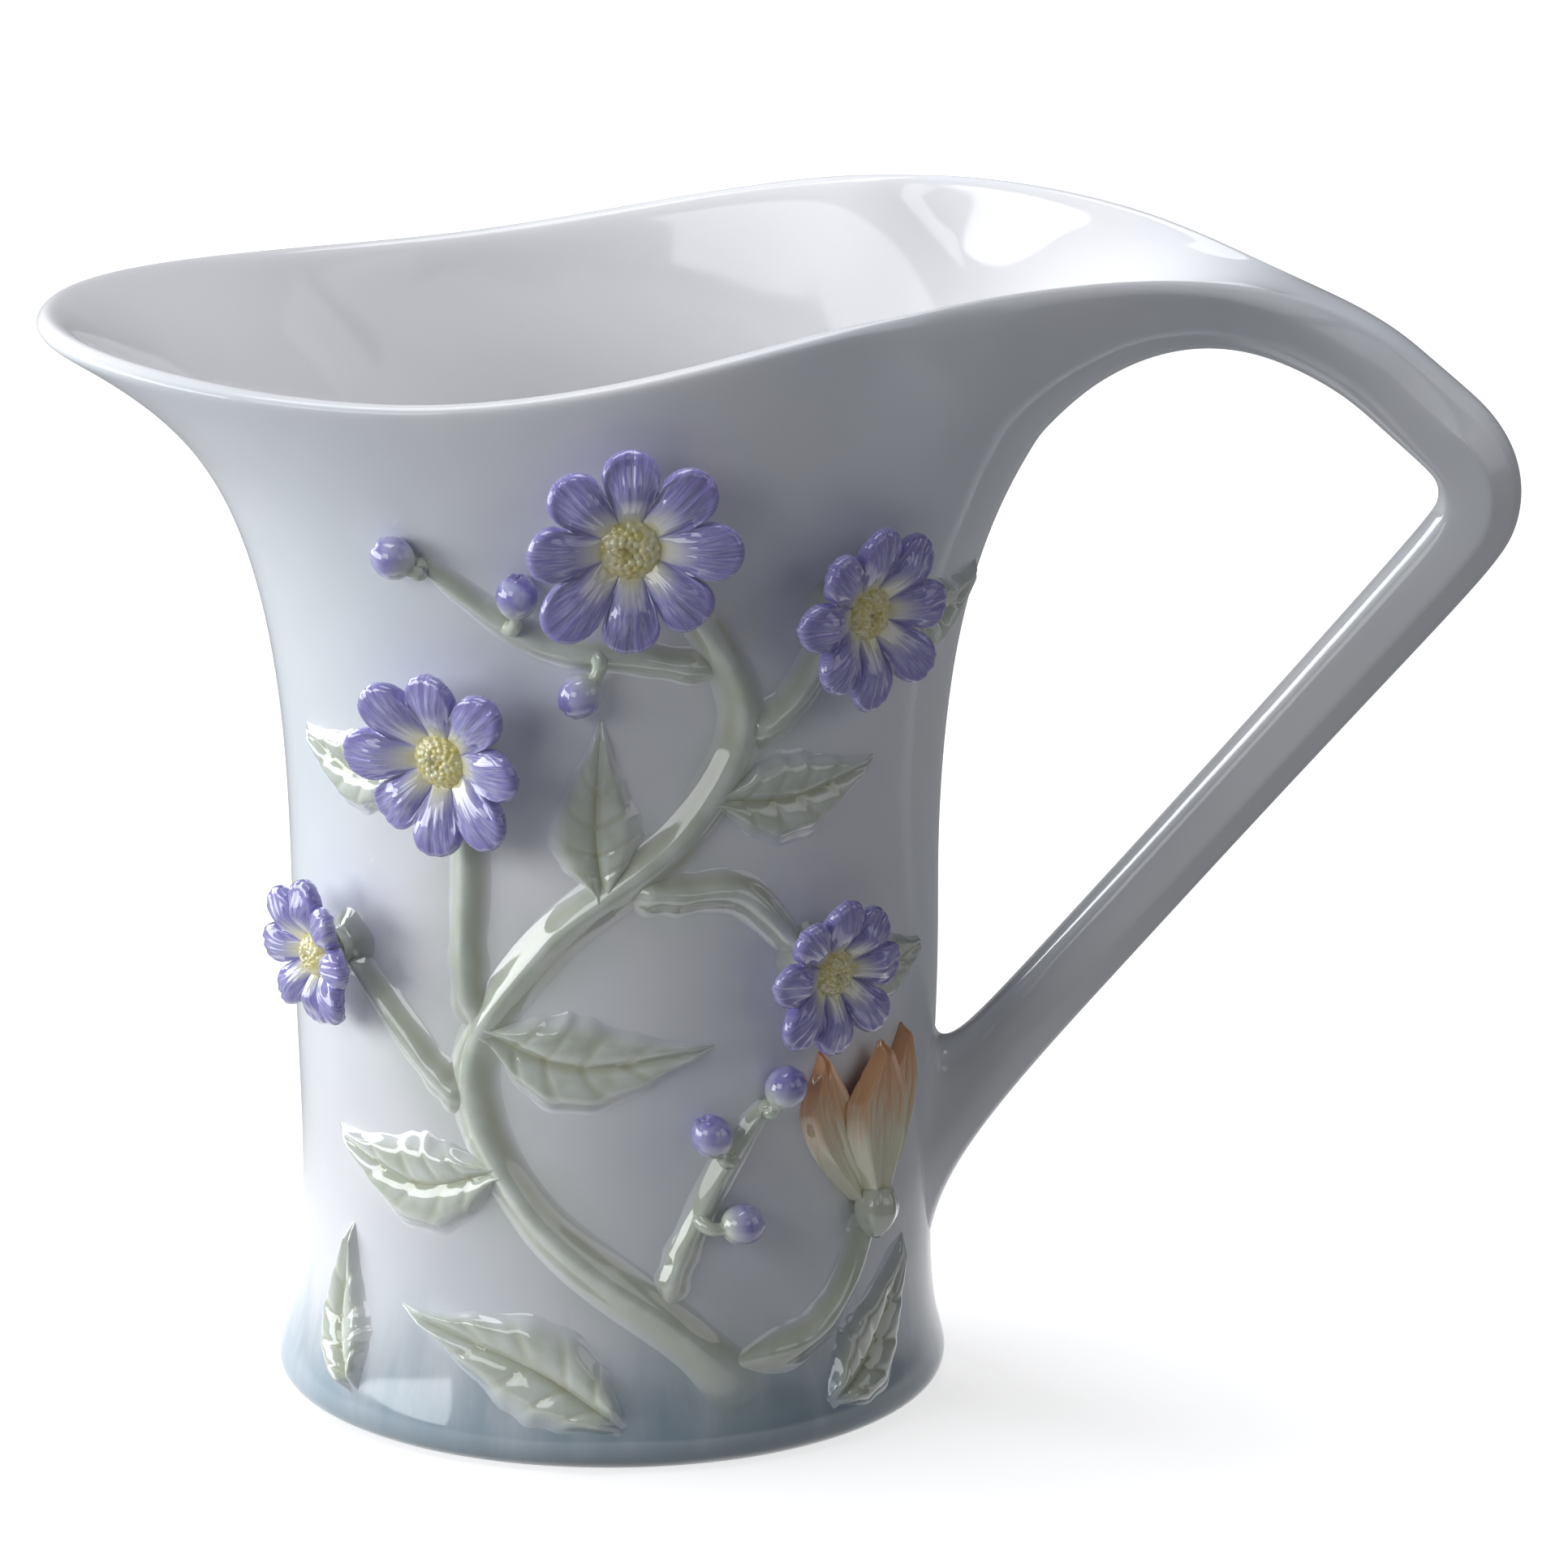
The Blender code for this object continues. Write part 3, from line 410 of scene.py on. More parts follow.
WHITE = (0.920, 0.917, 0.940)
DIM_WHITE = tuple(0.97 * channel for channel in WHITE)
WALL_TINT = (0.765, 0.820, 0.870)
FOOT_TINT = (0.270, 0.385, 0.470)
VINE_HAZE = (0.600, 0.670, 0.560)
BLOOM_HAZE_AND_SHADE = (0.640, 0.630, 0.790)
TINT_COVER, VINE_COVER, BLOOM_COVER, FOOT_COVER = 0.9, 0.55, 0.3, 0.85
FOOT_FADE = 17.0 * MM
FOOT_STREAK = 20.0 * MM
STREAK_SQUASH = (1.0, 1.0, 0.12)
GLAZE_IOR = 1.52
GLAZE_WAVE = 0.4 * MM


def ground(shade):
    """Colour of the wall: white inside, faintly aqua outside, airbrushed at the foot and green round the
    vine; the lilac round the blossoms is haze and painted shade.
    """
    outer = shade.mark("outside")
    white = shade.cloud(14.0).blend(WHITE, DIM_WHITE)
    tinted = white.painted(WALL_TINT, outer * shade.cloud(22.0).ease(0.25, 0.7) * TINT_COVER)
    green = shade.mark("vine_haze") * shade.cloud(120.0).ease(0.2, 0.8) * VINE_COVER
    # Lilac round the blossoms: partly airbrushed haze, partly painted shade round the raised flowers.
    lilac = shade.mark("bloom_haze_and_shade") * shade.cloud(90.0).ease(0.2, 0.8) * BLOOM_COVER
    hazed = tinted.painted(VINE_HAZE, green).painted(BLOOM_HAZE_AND_SHADE, lilac)
    upright = shade.add("VectorMath", {0: shade.place(), 1: STREAK_SQUASH}, operation="MULTIPLY")
    streak = (shade.cloud(130.0, 4.0, 0.6, upright) - 0.5) * FOOT_STREAK
    foot = outer * (1.0 - (shade.height() - streak).ease(0.0, FOOT_FADE))
    return hazed.painted(FOOT_TINT, foot * FOOT_COVER)


def fresh_tree(owner):
    """Empty node tree of a material or a world."""
    owner.use_nodes = True
    owner.node_tree.nodes.clear()
    return Shade(owner.node_tree)


def glaze(name, colour, roughness=0.05, coat=0.8):
    """Glossy glaze and a clear coat over a painted colour: faintly uneven in gloss and level, as fired."""
    material = bpy.data.materials.new(name)
    shade = fresh_tree(material)
    wave = {"Strength": 1.0, "Distance": GLAZE_WAVE, "Height": shade.cloud(70.0, 1.0)}
    gloss = roughness * (0.7 + shade.cloud(210.0, 2.0) * 0.6)
    surface = shade.add("BsdfPrincipled", {
        "Base Color": colour(shade), "Roughness": gloss, "IOR": GLAZE_IOR, "Coat Weight": coat,
        "Normal": shade.add("Bump", wave)})
    shade.add("OutputMaterial", {"Surface": surface})
    return material


white_glaze = glaze("white_glaze", ground, roughness=0.09, coat=0.0)

# Handle: a second porcelain casting, luted to the strap's end and to the lower wall, with the glaze run over
# both joints. Its rod is drawn on from the strap's own section, so the two castings are rounded as one and
# then parted. Past the strap its sides turn flat, with a ridge between two facets.
LEG_THICKNESS = 7.6 * MM
LEG_WIDTH = 8.6 * MM
HANDLE_CORNER = from_crest(59.7 * MM, 27.0 * MM)
CORNER_RADIUS = 8.2 * MM
ROOT_HEIGHT = 27.0 * MM
ROOT_HALF_HEIGHT = 12.0 * MM
ROOT_HALF_WIDTH = 7.5 * MM
ROOT_REACH = 11.0 * MM
ROOT_LEAD = 1.5 * MM
ROOT_SUNK = 0.5 * MM
CORNER_STEPS = 5
LEG_STEPS = 5
TOP_SHARES = (0.4, 0.8)
CORNER_INSET = 0.05
ROOT_SHARES = (0.4, 0.75, 1.0)
ROOT_SPILL = 0.12
ROD_TINT = 0.6
ROOT_TINT = 0.8
RIDGE = 0.75
RIDGE_GROWS = (0, 3)
RIDGE_FADE = 2
RIDGE_SHIFT = 0.12
FACET_SIDE = 0.4
FACET_EDGE = 0.7


def rod_section(width, thickness, flat):
    """Under and upper half of the rod's section about its middle. Flat draws the under half to facets."""
    half = 0.5 * width
    under = []
    for y, h in half_round(half, 0.5 * thickness):
        side = math.copysign(abs(y / half) ** mix(1.0, FACET_SIDE, flat), y)
        edge = abs(1.0 - 2.0 * h / thickness) ** mix(1.0, FACET_EDGE, flat)
        under.append((half * side, -0.5 * thickness * edge))
    for end in (0, -1):
        under[end] = (under[end][0], flat * RIDGE_SHIFT * thickness)
    upper = [(y, 0.5 * thickness + h)
             for y, h in half_round(SHOULDER_WIDTH * half, (SHOULDER_HEIGHT - 1.0) * thickness)]
    return under + upper[::-1]


arch_run = bezier_heading(ARCH, 1.0)
handle_start = ARCH[3] + Vector((-arch_run.z, 0.0, arch_run.x)) * (0.5 * ROD_THICKNESS)
handle_root = Vector((WALL_X, 0.0, ROOT_HEIGHT + ROOT_LEAD))
top_run = (HANDLE_CORNER - handle_start).normalized()
leg_run = (handle_root - HANDLE_CORNER).normalized()
corner_turn = top_run.angle(leg_run)
corner_reach = CORNER_RADIUS * math.tan(0.5 * corner_turn)
arc_in = HANDLE_CORNER - top_run * corner_reach
arc_out = HANDLE_CORNER + leg_run * corner_reach
arc_centre = arc_in + Vector((top_run.z, 0.0, -top_run.x)) * CORNER_RADIUS
stations = [(handle_start.lerp(arc_in, share), top_run) for share in TOP_SHARES]
for k in range(CORNER_STEPS):
    swing = corner_turn * (CORNER_INSET + (1.0 - 2.0 * CORNER_INSET) * k / (CORNER_STEPS - 1))
    arm = arc_in - arc_centre
    swung = Vector((arm.x * math.cos(swing) + arm.z * math.sin(swing), 0.0,
                    arm.z * math.cos(swing) - arm.x * math.sin(swing)))
    stations.append((arc_centre + swung, Vector((swung.z, 0.0, -swung.x)).normalized()))
leg_end = handle_root - leg_run * ROOT_REACH
for k in range(1, LEG_STEPS + 1):
    stations.append((arc_out.lerp(leg_end, k / LEG_STEPS), leg_run))
rod_rows = [under_rows[-1] + channel_rows[-1][::-1]]
for k, (middle, run) in enumerate(stations, 1):
    up = Vector((-run.z, 0.0, run.x))
    slim = smooth(CORNER_STEPS, CORNER_STEPS + LEG_STEPS, k)
    section = rod_section(mix(ROD_WIDTH, LEG_WIDTH, slim), mix(ROD_THICKNESS, LEG_THICKNESS, slim),
                          smooth(*RIDGE_GROWS, k))
    rod_points = [middle + up * h + Vector((0.0, y, 0.0)) for y, h in section]
    rod_rows.append(cage_row(rod_points, ROD_TINT))
root_points = [[], [], [], []]
for point, (y, h) in zip(rod_points, section):
    footprint, _ = on_wall(point, leg_run)
    spread_y = y / (0.5 * LEG_WIDTH) * ROOT_HALF_WIDTH
    spread_z = ROOT_HEIGHT - h / (0.5 * LEG_THICKNESS) * ROOT_HALF_HEIGHT
    landing, facing = on_wall(Vector((2.0 * WALL_X, spread_y, spread_z)), Vector((-1.0, 0.0, 0.0)))
    for level, share in zip(root_points, ROOT_SHARES):
        rest = 1.0 - share
        level.append(point * rest * rest + footprint * (2 * rest * share) + landing * share * share)
    root_points[3].append(landing + (landing - footprint) * ROOT_SPILL - facing * ROOT_SUNK)
for points in root_points:
    rod_rows.append(cage_row(points, ROOT_TINT))
cage_skin(rod_rows, True, casting=1)
for k in range(1, len(stations)):
    ridge = RIDGE * smooth(*RIDGE_GROWS, k) * smooth(len(stations), len(stations) - RIDGE_FADE, k)
    for side in (0, 2 * STRAP_SIDE):
        cage.edges.get((rod_rows[k][side], rod_rows[k + 1][side]))[crease] = ridge
castings = rounded(ROUNDING)
cage.free()


def boundary_loops(faces):
    """Closed lines of edges that only one of these faces has."""
    onward = {}
    edges = {(a, b) for face in faces for a, b in zip(face, face[1:] + face[:1])}
    for a, b in edges:
        if (b, a) not in edges:
            onward[a] = b
    loops = []
    while onward:
        first, here = onward.popitem()
        loop = [first]
        while here != first:
            loop.append(here)
            here = onward.pop(here)
        loops.append(loop)
    return loops


def write_mark(mesh, name, values):
    """Number at each point of a mesh, for its paint to read."""
    mesh.attributes.new(name, "FLOAT", "POINT").data.foreach_set("value", values)


def parted(name, casting):
    """One casting of the two: its own faces with the shared smooth normals, closed at the joint."""
    faces = [list(face.vertices) for face in castings.polygons if face.material_index == casting]
    used = sorted({corner for face in faces for corner in face})
    number = {corner: n for n, corner in enumerate(used)}
    places = [castings.vertices[corner].co.copy() for corner in used]
    normals = [castings.vertex_normals[corner].vector.copy() for corner in used]
    marks = [castings.attributes["outside"].data[corner].value for corner in used]
    faces = [[number[corner] for corner in face] for face in faces]
    for loop in boundary_loops(faces):
        centre = sum((places[corner] for corner in loop), Vector()) / len(loop)
        across = (places[loop[0]] - centre).cross(places[loop[len(loop) // 4]] - centre).normalized()
        start = len(places)
        places += [places[corner] for corner in loop] + [centre]
        normals += [-across] * (len(loop) + 1)
        marks += [1.0] * (len(loop) + 1)
        for k in range(len(loop)):
            faces.append([start + (k + 1) % len(loop), start + k, start + len(loop)])
    mesh = bpy.data.meshes.new(name)
    mesh.from_pydata(places, [], faces)
    mesh.shade_smooth()
    write_mark(mesh, "outside", marks)
    mesh.normals_split_custom_set_from_vertices(normals)
    return placed(name, mesh)


def finished(piece, material, slot, *nodes):
    """Give a piece its glaze and put it in the place of its nodes."""
    piece.data.materials.append(material)
    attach(piece, "root")
    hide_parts(*nodes)


vessel = parted("vessel", 0)
handle = parted("handle_casting", 1)
finished(vessel, white_glaze, "white_glaze", "jug_body")
finished(handle, white_glaze, "white_glaze", "handle")

# Vine and twigs: rolled porcelain threads laid on the front of the wall and smoothed down along both edges,
# so that they rise out of the glaze. They are washed pale green, with olive on both flanks that is partly
# glaze pooled beside them and partly painted shade.
VINE_WIDTH = 3.2 * MM
VINE_HEIGHT = 1.8 * MM
TWIG_WIDTH = 2.7 * MM
SPRAY_WIDTH = 2.2 * MM
SPRAY_HEIGHT = 1.5 * MM
ROOT_SPREAD = 0.9
JOINT_TAPER = 0.6
UNEVEN = 0.07
VINE_STEPS = 200
THREAD_STEPS = 60
THREAD_COLUMNS = 16
SUNK = 0.06 * MM
BURIED = 0.4 * MM
FOLD = 60.0
HAZE_STEPS = 40
HAZE_REACH = 5.0 * MM
BLOOM_REACH = (0.7, 1.5)
CALYX_RADIUS = 2.8 * MM
BLOSSOM_RADIUS = 11.5 * MM
BLOSSOMS = (
    ((3.5, 0.885), 1.00, -0.05, 0.05, (0.5, -0.9)),
    ((44.0, 0.800), 0.87, 0.15, 0.00, (-0.5, -0.85)),
    ((-25.5, 0.680), 0.92, -0.15, -0.05, (0.1, -1.0)),
    ((37.0, 0.470), 0.78, 0.10, -0.15, (-0.7, 0.7)),
    ((-53.0, 0.465), 0.70, -0.10, -0.10, (0.8, -0.6)),
)
VINE = ((17.5, 0.795), (24.5, 0.700), (13.5, 0.600), (-10.0, 0.500), (-24.5, 0.370), (-13.5, 0.240),
        (13.5, 0.125), (28.5, 0.040))
TWIGS = (
    (0.27, (31.0, 0.700), (38.0, 0.735)),
    (0.60, (-25.5, 0.470), (-25.0, 0.560)),
    (0.44, (12.0, 0.545), (24.0, 0.540)),
    (0.66, (-31.0, 0.360), (-40.0, 0.405)),
)
SPRAYS = (
    (0.19, (8.0, 0.765), (-12.0, 0.785), (-31.0, 0.855)),
    (0.855, (13.0, 0.200), (20.0, 0.275), (28.5, 0.340)),
)


def panel(turn, share):
    """Place on the unrolled wall: degrees round from the front's middle, share of the spout's height."""
    return Vector((math.radians(turn) * WAIST_RADIUS, share * SPOUT_HEIGHT))


def route_at(route, share):
    """Point and heading at a share of the smooth curve through a route."""
    points = [2 * route[0] - route[1], *route, 2 * route[-1] - route[-2]]
    spans = len(route) - 1
    i = min(int(share * spans), spans - 1)
    t = share * spans - i
    a, b, c, d = points[i:i + 4]
    bend = 2 * a - 5 * b + 4 * c - d
    twist = 3 * b - a - 3 * c + d
    point = b + 0.5 * ((c - a) * t + bend * t ** 2 + twist * t ** 3)
    slope = (c - a) + bend * (2 * t) + twist * (3 * t ** 2)
    return point, slope.normalized()


def branch(share, *places):
    """Route of a branch from its far end to the middle of the vine, at a share along the vine."""
    return [*(panel(*place) for place in reversed(places)), route_at(vine_route, share)[0]]


def wall_spot(across, height):
    """Place and outward direction on the wall at an unrolled position."""
    turn = across / WAIST_RADIUS
    outward = Vector((math.sin(turn), -math.cos(turn), 0.0))
    return on_wall(outward * (3.0 * WAIST_RADIUS) + Vector((0.0, 0.0, height)), -outward)


twig_starts = []
for place, *_, bearing in BLOSSOMS:
    twig_starts.append(panel(*place) + Vector(bearing).normalized() * (0.6 * CALYX_RADIUS))
vine_route = [twig_starts[0], *(panel(*place) for place in VINE)]
twig_routes = [[start, *branch(*joint)] for start, joint in zip(twig_starts[1:], TWIGS)]
spray_routes = [branch(*joint) for joint in SPRAYS]
haze_points = [(*route_at(route, k / HAZE_STEPS)[0], HAZE_REACH)
               for route in (vine_route, *twig_routes) for k in range(HAZE_STEPS + 1)]
bloom_points = [(*panel(*place), size * BLOSSOM_RADIUS) for place, size, *_ in BLOSSOMS]


def nearest(across, height, points):
    """Distance of places on the unrolled wall from the nearest of some points, each with its own measure."""
    return np.minimum.reduce([np.hypot(across - x, height - z) / measure for x, z, measure in points])


def airbrush(piece):
    """Mark the green haze the airbrush left at each point of a piece, and the lilac haze with painted shade
    round the blossoms.
    """
    mesh = piece.data
    places = np.empty(3 * len(mesh.vertices))
    mesh.vertices.foreach_get("co", places)
    x, y, height = places.reshape(-1, 3).T
    across = np.arctan2(x, -y) * WAIST_RADIUS
    if "outside" not in mesh.attributes:
        write_mark(mesh, "outside", np.ones(len(across)))
    shown = np.empty(len(across))
    mesh.attributes["outside"].data.foreach_get("value", shown)
    # Lilac round the blossoms: partly airbrushed haze, partly painted shade round the raised flowers.
    lilac = 1.0 - smooth(*BLOOM_REACH, nearest(across, height, bloom_points))
    write_mark(mesh, "vine_haze", np.exp(-nearest(across, height, haze_points) ** 2) * shown)
    write_mark(mesh, "bloom_haze_and_shade", lilac * shown)


def lofted(name, sections, pointed=False, fold=FOLD):
    """Closed piece through closed sections with their marks, drawn to a point or closed flat at both ends."""
    count = len(sections[0][0])
    last = len(sections) - 1
    places = [point for points, _ in sections for point in points]
    marks = {key: [] for key in sections[0][1]}
    for _, values in sections:
        for key, value in values.items():
            marks[key] += list(np.broadcast_to(value, count))
    faces = []
    for k in range(last):
        for i in range(count):
            a = k * count + i
            b = k * count + (i + 1) % count
            faces.append((a, b, b + count, a + count))
    for k, order in ((0, 1), (last, -1)):
        loop = [k * count + i for i in range(count)]
        if pointed:
            for column in marks.values():
                column.append(column[loop[0]])
            places.append(sum((places[i] for i in loop), Vector()) / count)
            faces += [(loop[i], loop[(i + 1) % count], len(places) - 1)[::-order] for i in range(count)]
        else:
            faces.append(tuple(loop[::-order]))
    mesh = bpy.data.meshes.new(name)
    mesh.from_pydata(places, [], faces)
    for key, column in marks.items():
        write_mark(mesh, key, column)
    work = bmesh.new()
    work.from_mesh(mesh)
    bmesh.ops.recalc_face_normals(work, faces=work.faces)
    work.to_mesh(mesh)
    work.free()
    mesh.shade_smooth()
    mesh.set_sharp_from_angle(angle=math.radians(fold))
    return placed(name, mesh)


def laid(name, route, steps, columns, breadth, rise, under=lambda share, x: -BURIED, wash=lambda share: 1.0):
    """Piece laid on the wall along a route: breadth and paint by share, height also by place across."""
    front = [-1.0 + 2.0 * i / columns for i in range(columns + 1)]
    back = front[-2:0:-2]
    sections = []
    for k in range(steps + 1):
        share = k / steps
        half = breadth(share)
        point, slope = route_at(route, share)
        across = Vector((slope.y, -slope.x))
        lifts = [rise(share, x) for x in front] + [under(share, x) for x in back]
        points = []
        for x, lift in zip(front + back, lifts):
            place, normal = wall_spot(*(point + across * (half * x)))
            points.append(place + normal * lift)
        sections.append((points, {"along": share, "side": front + back, "wash": wash(share)}))
    return lofted(name, sections)


def thread(name, route, steps, width, height, rooted=False):
    """Rolled thread with soft edges, which ends inside the vine or spreads into the foot as a root."""
    def breadth(share):
        spread = ROOT_SPREAD * smooth(0.88, 1.0, share) if rooted else -JOINT_TAPER * smooth(0.82, 1.0, share)
        uneven = UNEVEN * math.sin(23.0 * share + 2.0 * math.sin(9.0 * share))
        tip = mix(0.55, 1.0, smooth(0.0, 0.12, share))
        return 1.05 * width * (mix(0.85, 1.1, share) + spread + uneven) * tip

    def rise(share, x):
        start = mix(0.3, 1.0, smooth(0.0, 0.02, share))
        end = 1.0 - smooth(0.78, 1.0, share)
        return height * start * end * (0.5 + 0.5 * math.cos(math.pi * x)) ** 1.2 - SUNK

    def wash(share):
        return 1.0 - smooth(0.88, 0.99, share) if rooted else 1.0

    return laid(name, route, steps, THREAD_COLUMNS, breadth, rise, wash=wash)


GREEN = (0.600, 0.655, 0.545)
PALE_GREEN = (0.730, 0.775, 0.715)
OLIVE = (0.480, 0.490, 0.310)


def vine_colour(shade):
    """Pale green crest, olive flanks of pooled glaze and painted shade, fading into the wall's own glaze at
    the edges.
    """
    edge = shade.mark("side").size()
    blotch = shade.cloud(260.0, 4.0)
    crest = blotch.ease(0.3, 0.7).blend(GREEN, PALE_GREEN)
    # Olive on both flanks of a thread: partly glaze pooled there, partly painted shade where the thread meets
    # the wall.
    pooled_and_shaded = crest.painted(OLIVE, edge.ease(0.15, 0.55) * blotch.ease(0.2, 0.75) * 0.75)
    return ground(shade).painted(pooled_and_shaded, (1.0 - edge.ease(0.35, 0.9)) * shade.mark("wash"))


green_glaze = glaze("green_glaze", vine_colour)


def green_sprig(piece, node, material=green_glaze):
    """Airbrush a green piece as the wall round it is, and finish it."""
    airbrush(piece)
    finished(piece, material, "leaf_glaze", node)


airbrush(vessel)
airbrush(handle)
green_sprig(thread("vine_thread", vine_route, VINE_STEPS, VINE_WIDTH, VINE_HEIGHT, rooted=True), "vine")
for number, route in enumerate(twig_routes, 1):
    node = f"twig_{number}"
    green_sprig(thread(node + "_thread", route, THREAD_STEPS, TWIG_WIDTH, VINE_HEIGHT), node)
for node, route in zip(("spray_upper", "spray_lower"), spray_routes):
    green_sprig(thread(node + "_thread", route, THREAD_STEPS, SPRAY_WIDTH, SPRAY_HEIGHT), node)

# Leaves: oval porcelain sprigs pressed with a sunk midrib and side veins, laid on the wall and smoothed down
# at the edge. They are washed sage green from the midrib, with the edge left pale.
LEAF_WIDTH = 9.5 * MM
LEAF_HEIGHT = 1.8 * MM
LEAF_NECK = 0.16
LEAF_DISH = 0.72
LEAF_TIP_HEIGHT = 0.6
LEAF_TIP_WIDTH = 0.2 * MM
SCALLOP = 0.035
VEINS = 6
VEIN_SLANT = 0.9
VEIN_DEPTH = 0.17 * MM
MIDRIB_DEPTH = 0.36 * MM
MIDRIB_WIDTH = 0.55 * MM
LEAF_STEPS, LEAF_COLUMNS = 64, 24
VINE_LEAVES = (
    (1.00, 0.71, (-37.0, 0.255), (-60.0, 0.285)),
    (1.00, 0.585, (-5.0, 0.385), (20.0, 0.400)),
    (0.90, 0.45, (-2.0, 0.610), (-1.0, 0.715)),
    (0.90, 0.335, (35.0, 0.625), (54.0, 0.645)),
)
OTHER_LEAVES = (
    (0.90, (41.0, 0.040), (53.0, 0.085), (66.0, 0.175)),
    (1.00, (3.0, 0.040), (-14.0, 0.095), (-42.0, 0.135)),
    (0.80, (53.0, 0.770), (65.0, 0.765), (78.0, 0.800)),
    (0.80, (-50.0, 0.040), (-56.0, 0.100), (-55.0, 0.200)),
    (0.80, (-38.0, 0.640), (-50.0, 0.635), (-66.0, 0.660)),
    (0.70, (-60.0, 0.440), (-67.0, 0.415), (-80.0, 0.400)),
    (0.75, (46.0, 0.455), (56.0, 0.440), (70.0, 0.450)),
)


def leaf(name, route, width, base):
    """Leaf whose stalk begins at a share of its height: full off the vine, none off the wall."""
    def breadth(share):
        opening = mix(LEAF_NECK, 1.0, math.sin(0.5 * math.pi * min(1.0, max(0.0, share - 0.05) / 0.42)))
        scallop = 1.0 - SCALLOP * math.cos(2 * math.pi * (VEINS * share - VEIN_SLANT))
        return 0.60 * width * opening * scallop * (1.0 - smooth(0.45, 1.04, share)) + LEAF_TIP_WIDTH

    def rise(share, x):
        half = abs(x)
        ends = smooth(1.0, 0.88, share) * mix(base, 1.0, smooth(0.0, 0.12, share))
        dish = mix(LEAF_DISH, 1.0, math.sin(math.pi * min(0.5, half)))
        body = LEAF_HEIGHT * mix(1.0, LEAF_TIP_HEIGHT, share) * ends * dish
        wave = 0.5 + 0.5 * math.cos(2 * math.pi * (VEINS * share - VEIN_SLANT * half))
        vein = wave ** 5 * smooth(0.05, 0.2, half)
        midrib = math.exp(-(x * breadth(share) / MIDRIB_WIDTH) ** 2)
        cut = MIDRIB_DEPTH * midrib + VEIN_DEPTH * vein
        cut = cut * smooth(1.0, 0.7, share) * smooth(0.0, 0.15, share)
        return (body - cut) * (1.0 - smooth(0.55, 1.0, half)) - SUNK

    def wash(share):
        return mix(base, 1.0, smooth(0.02, 0.15, share))

    return laid(name, route, LEAF_STEPS, LEAF_COLUMNS, breadth, rise, wash=wash)


def leaf_colour(shade):
    """Sage green, deepest along the midrib and the veins, pale at the edge."""
    edge = shade.mark("side").size()
    along = shade.mark("along")
    blotch = shade.cloud(300.0, 4.0)
    vein = shade.math("COSINE", (along * VEINS - edge * VEIN_SLANT) * (2 * math.pi)).ease(0.6, 1.0)
    midrib = 1.0 - edge.ease(0.0, 0.2)
    wash = blotch.ease(0.3, 0.7).blend(GREEN, PALE_GREEN)
    veined = wash.painted(OLIVE, (vein * 0.35 + midrib * 0.6) * blotch.ease(0.2, 0.6))
    cover = (1.0 - edge.ease(0.5, 1.0)) * (1.0 - along.ease(0.6, 1.1) * 0.5) * shade.mark("wash")
    return ground(shade).painted(veined, cover)


leaf_glaze = glaze("leaf_glaze", leaf_colour)
leaf_routes = [(size, branch(*joint)[::-1], 1.0) for size, *joint in VINE_LEAVES]
leaf_routes += [(size, [panel(*place) for place in places], 0.0) for size, *places in OTHER_LEAVES]
for number, (size, route, base) in enumerate(leaf_routes, 1):
    piece = leaf(f"leaf_sprig_{number}", route, size * LEAF_WIDTH, base)
    green_sprig(piece, f"leaf_{number}", leaf_glaze)

# Blossoms: each is a corolla of eight rounded petals pressed from one pad of porcelain, stuck on a green
# calyx, with a domed yellow eye of small beads. Petals are washed lilac from the tip, streaked, and pale at
# the eye.
CALYX_HEIGHT = 2.4 * MM
CALYX_WAIST, CALYX_FLARE, CALYX_RIB = 0.28, 0.35, 0.05
CALYX_COLUMNS = 40
SEAM = 0.3 * MM
PETALS = 8
PETAL_COLUMNS = 22
PETAL_NOTCH = 0.40
PETAL_EDGE = 1.7 * MM
LENGTH_LUCK = 0.07
CURL, CURL_LUCK = 0.5, 0.6
SKEW_LUCK = 0.5
COROLLA_FLOOR = 1.4 * MM
COROLLA_DEPTH = 0.26
PILLOW = 1.4 * MM
VALLEY = 0.9 * MM
FLUTE = 0.07 * MM
EYE_SHARE = 0.28
EYE_HEIGHT = 1.9 * MM
EYE_COLUMNS = 72
BEADS = 55
BEAD_HEIGHT = 0.11
SOFT = 180.0
chance = np.random.default_rng(11)


def seat_of(blossom):
    """Seat of a blossom on the wall: its place, its axis, and two directions across it."""
    spot, _, lean_across, lean_up, _ = blossom
    place, normal = wall_spot(*panel(*spot))
    sideways = UP.cross(normal).normalized()
    axis = (normal + sideways * lean_across + Vector((0.0, 0.0, lean_up))).normalized()
    upward = (UP - axis * axis.z).normalized()
    return place, axis, upward, upward.cross(axis)


def spoke(seat, turn):
    """Direction across a seat's axis, at a turn from the seat's upward direction."""
    return seat[2] * math.cos(turn) + seat[3] * math.sin(turn)


def turned(name, seat, rings, fold=FOLD):
    """Piece of rings about a seat's axis, each of (turn, reach, rise) with marks, pointed at both ends."""
    place, axis, *_ = seat
    sections = []
    for level, marks in rings:
        points = [place + axis * rise + spoke(seat, turn) * reach for turn, reach, rise in level]
        sections.append((points, marks))
    return lofted(name, sections, True, fold)


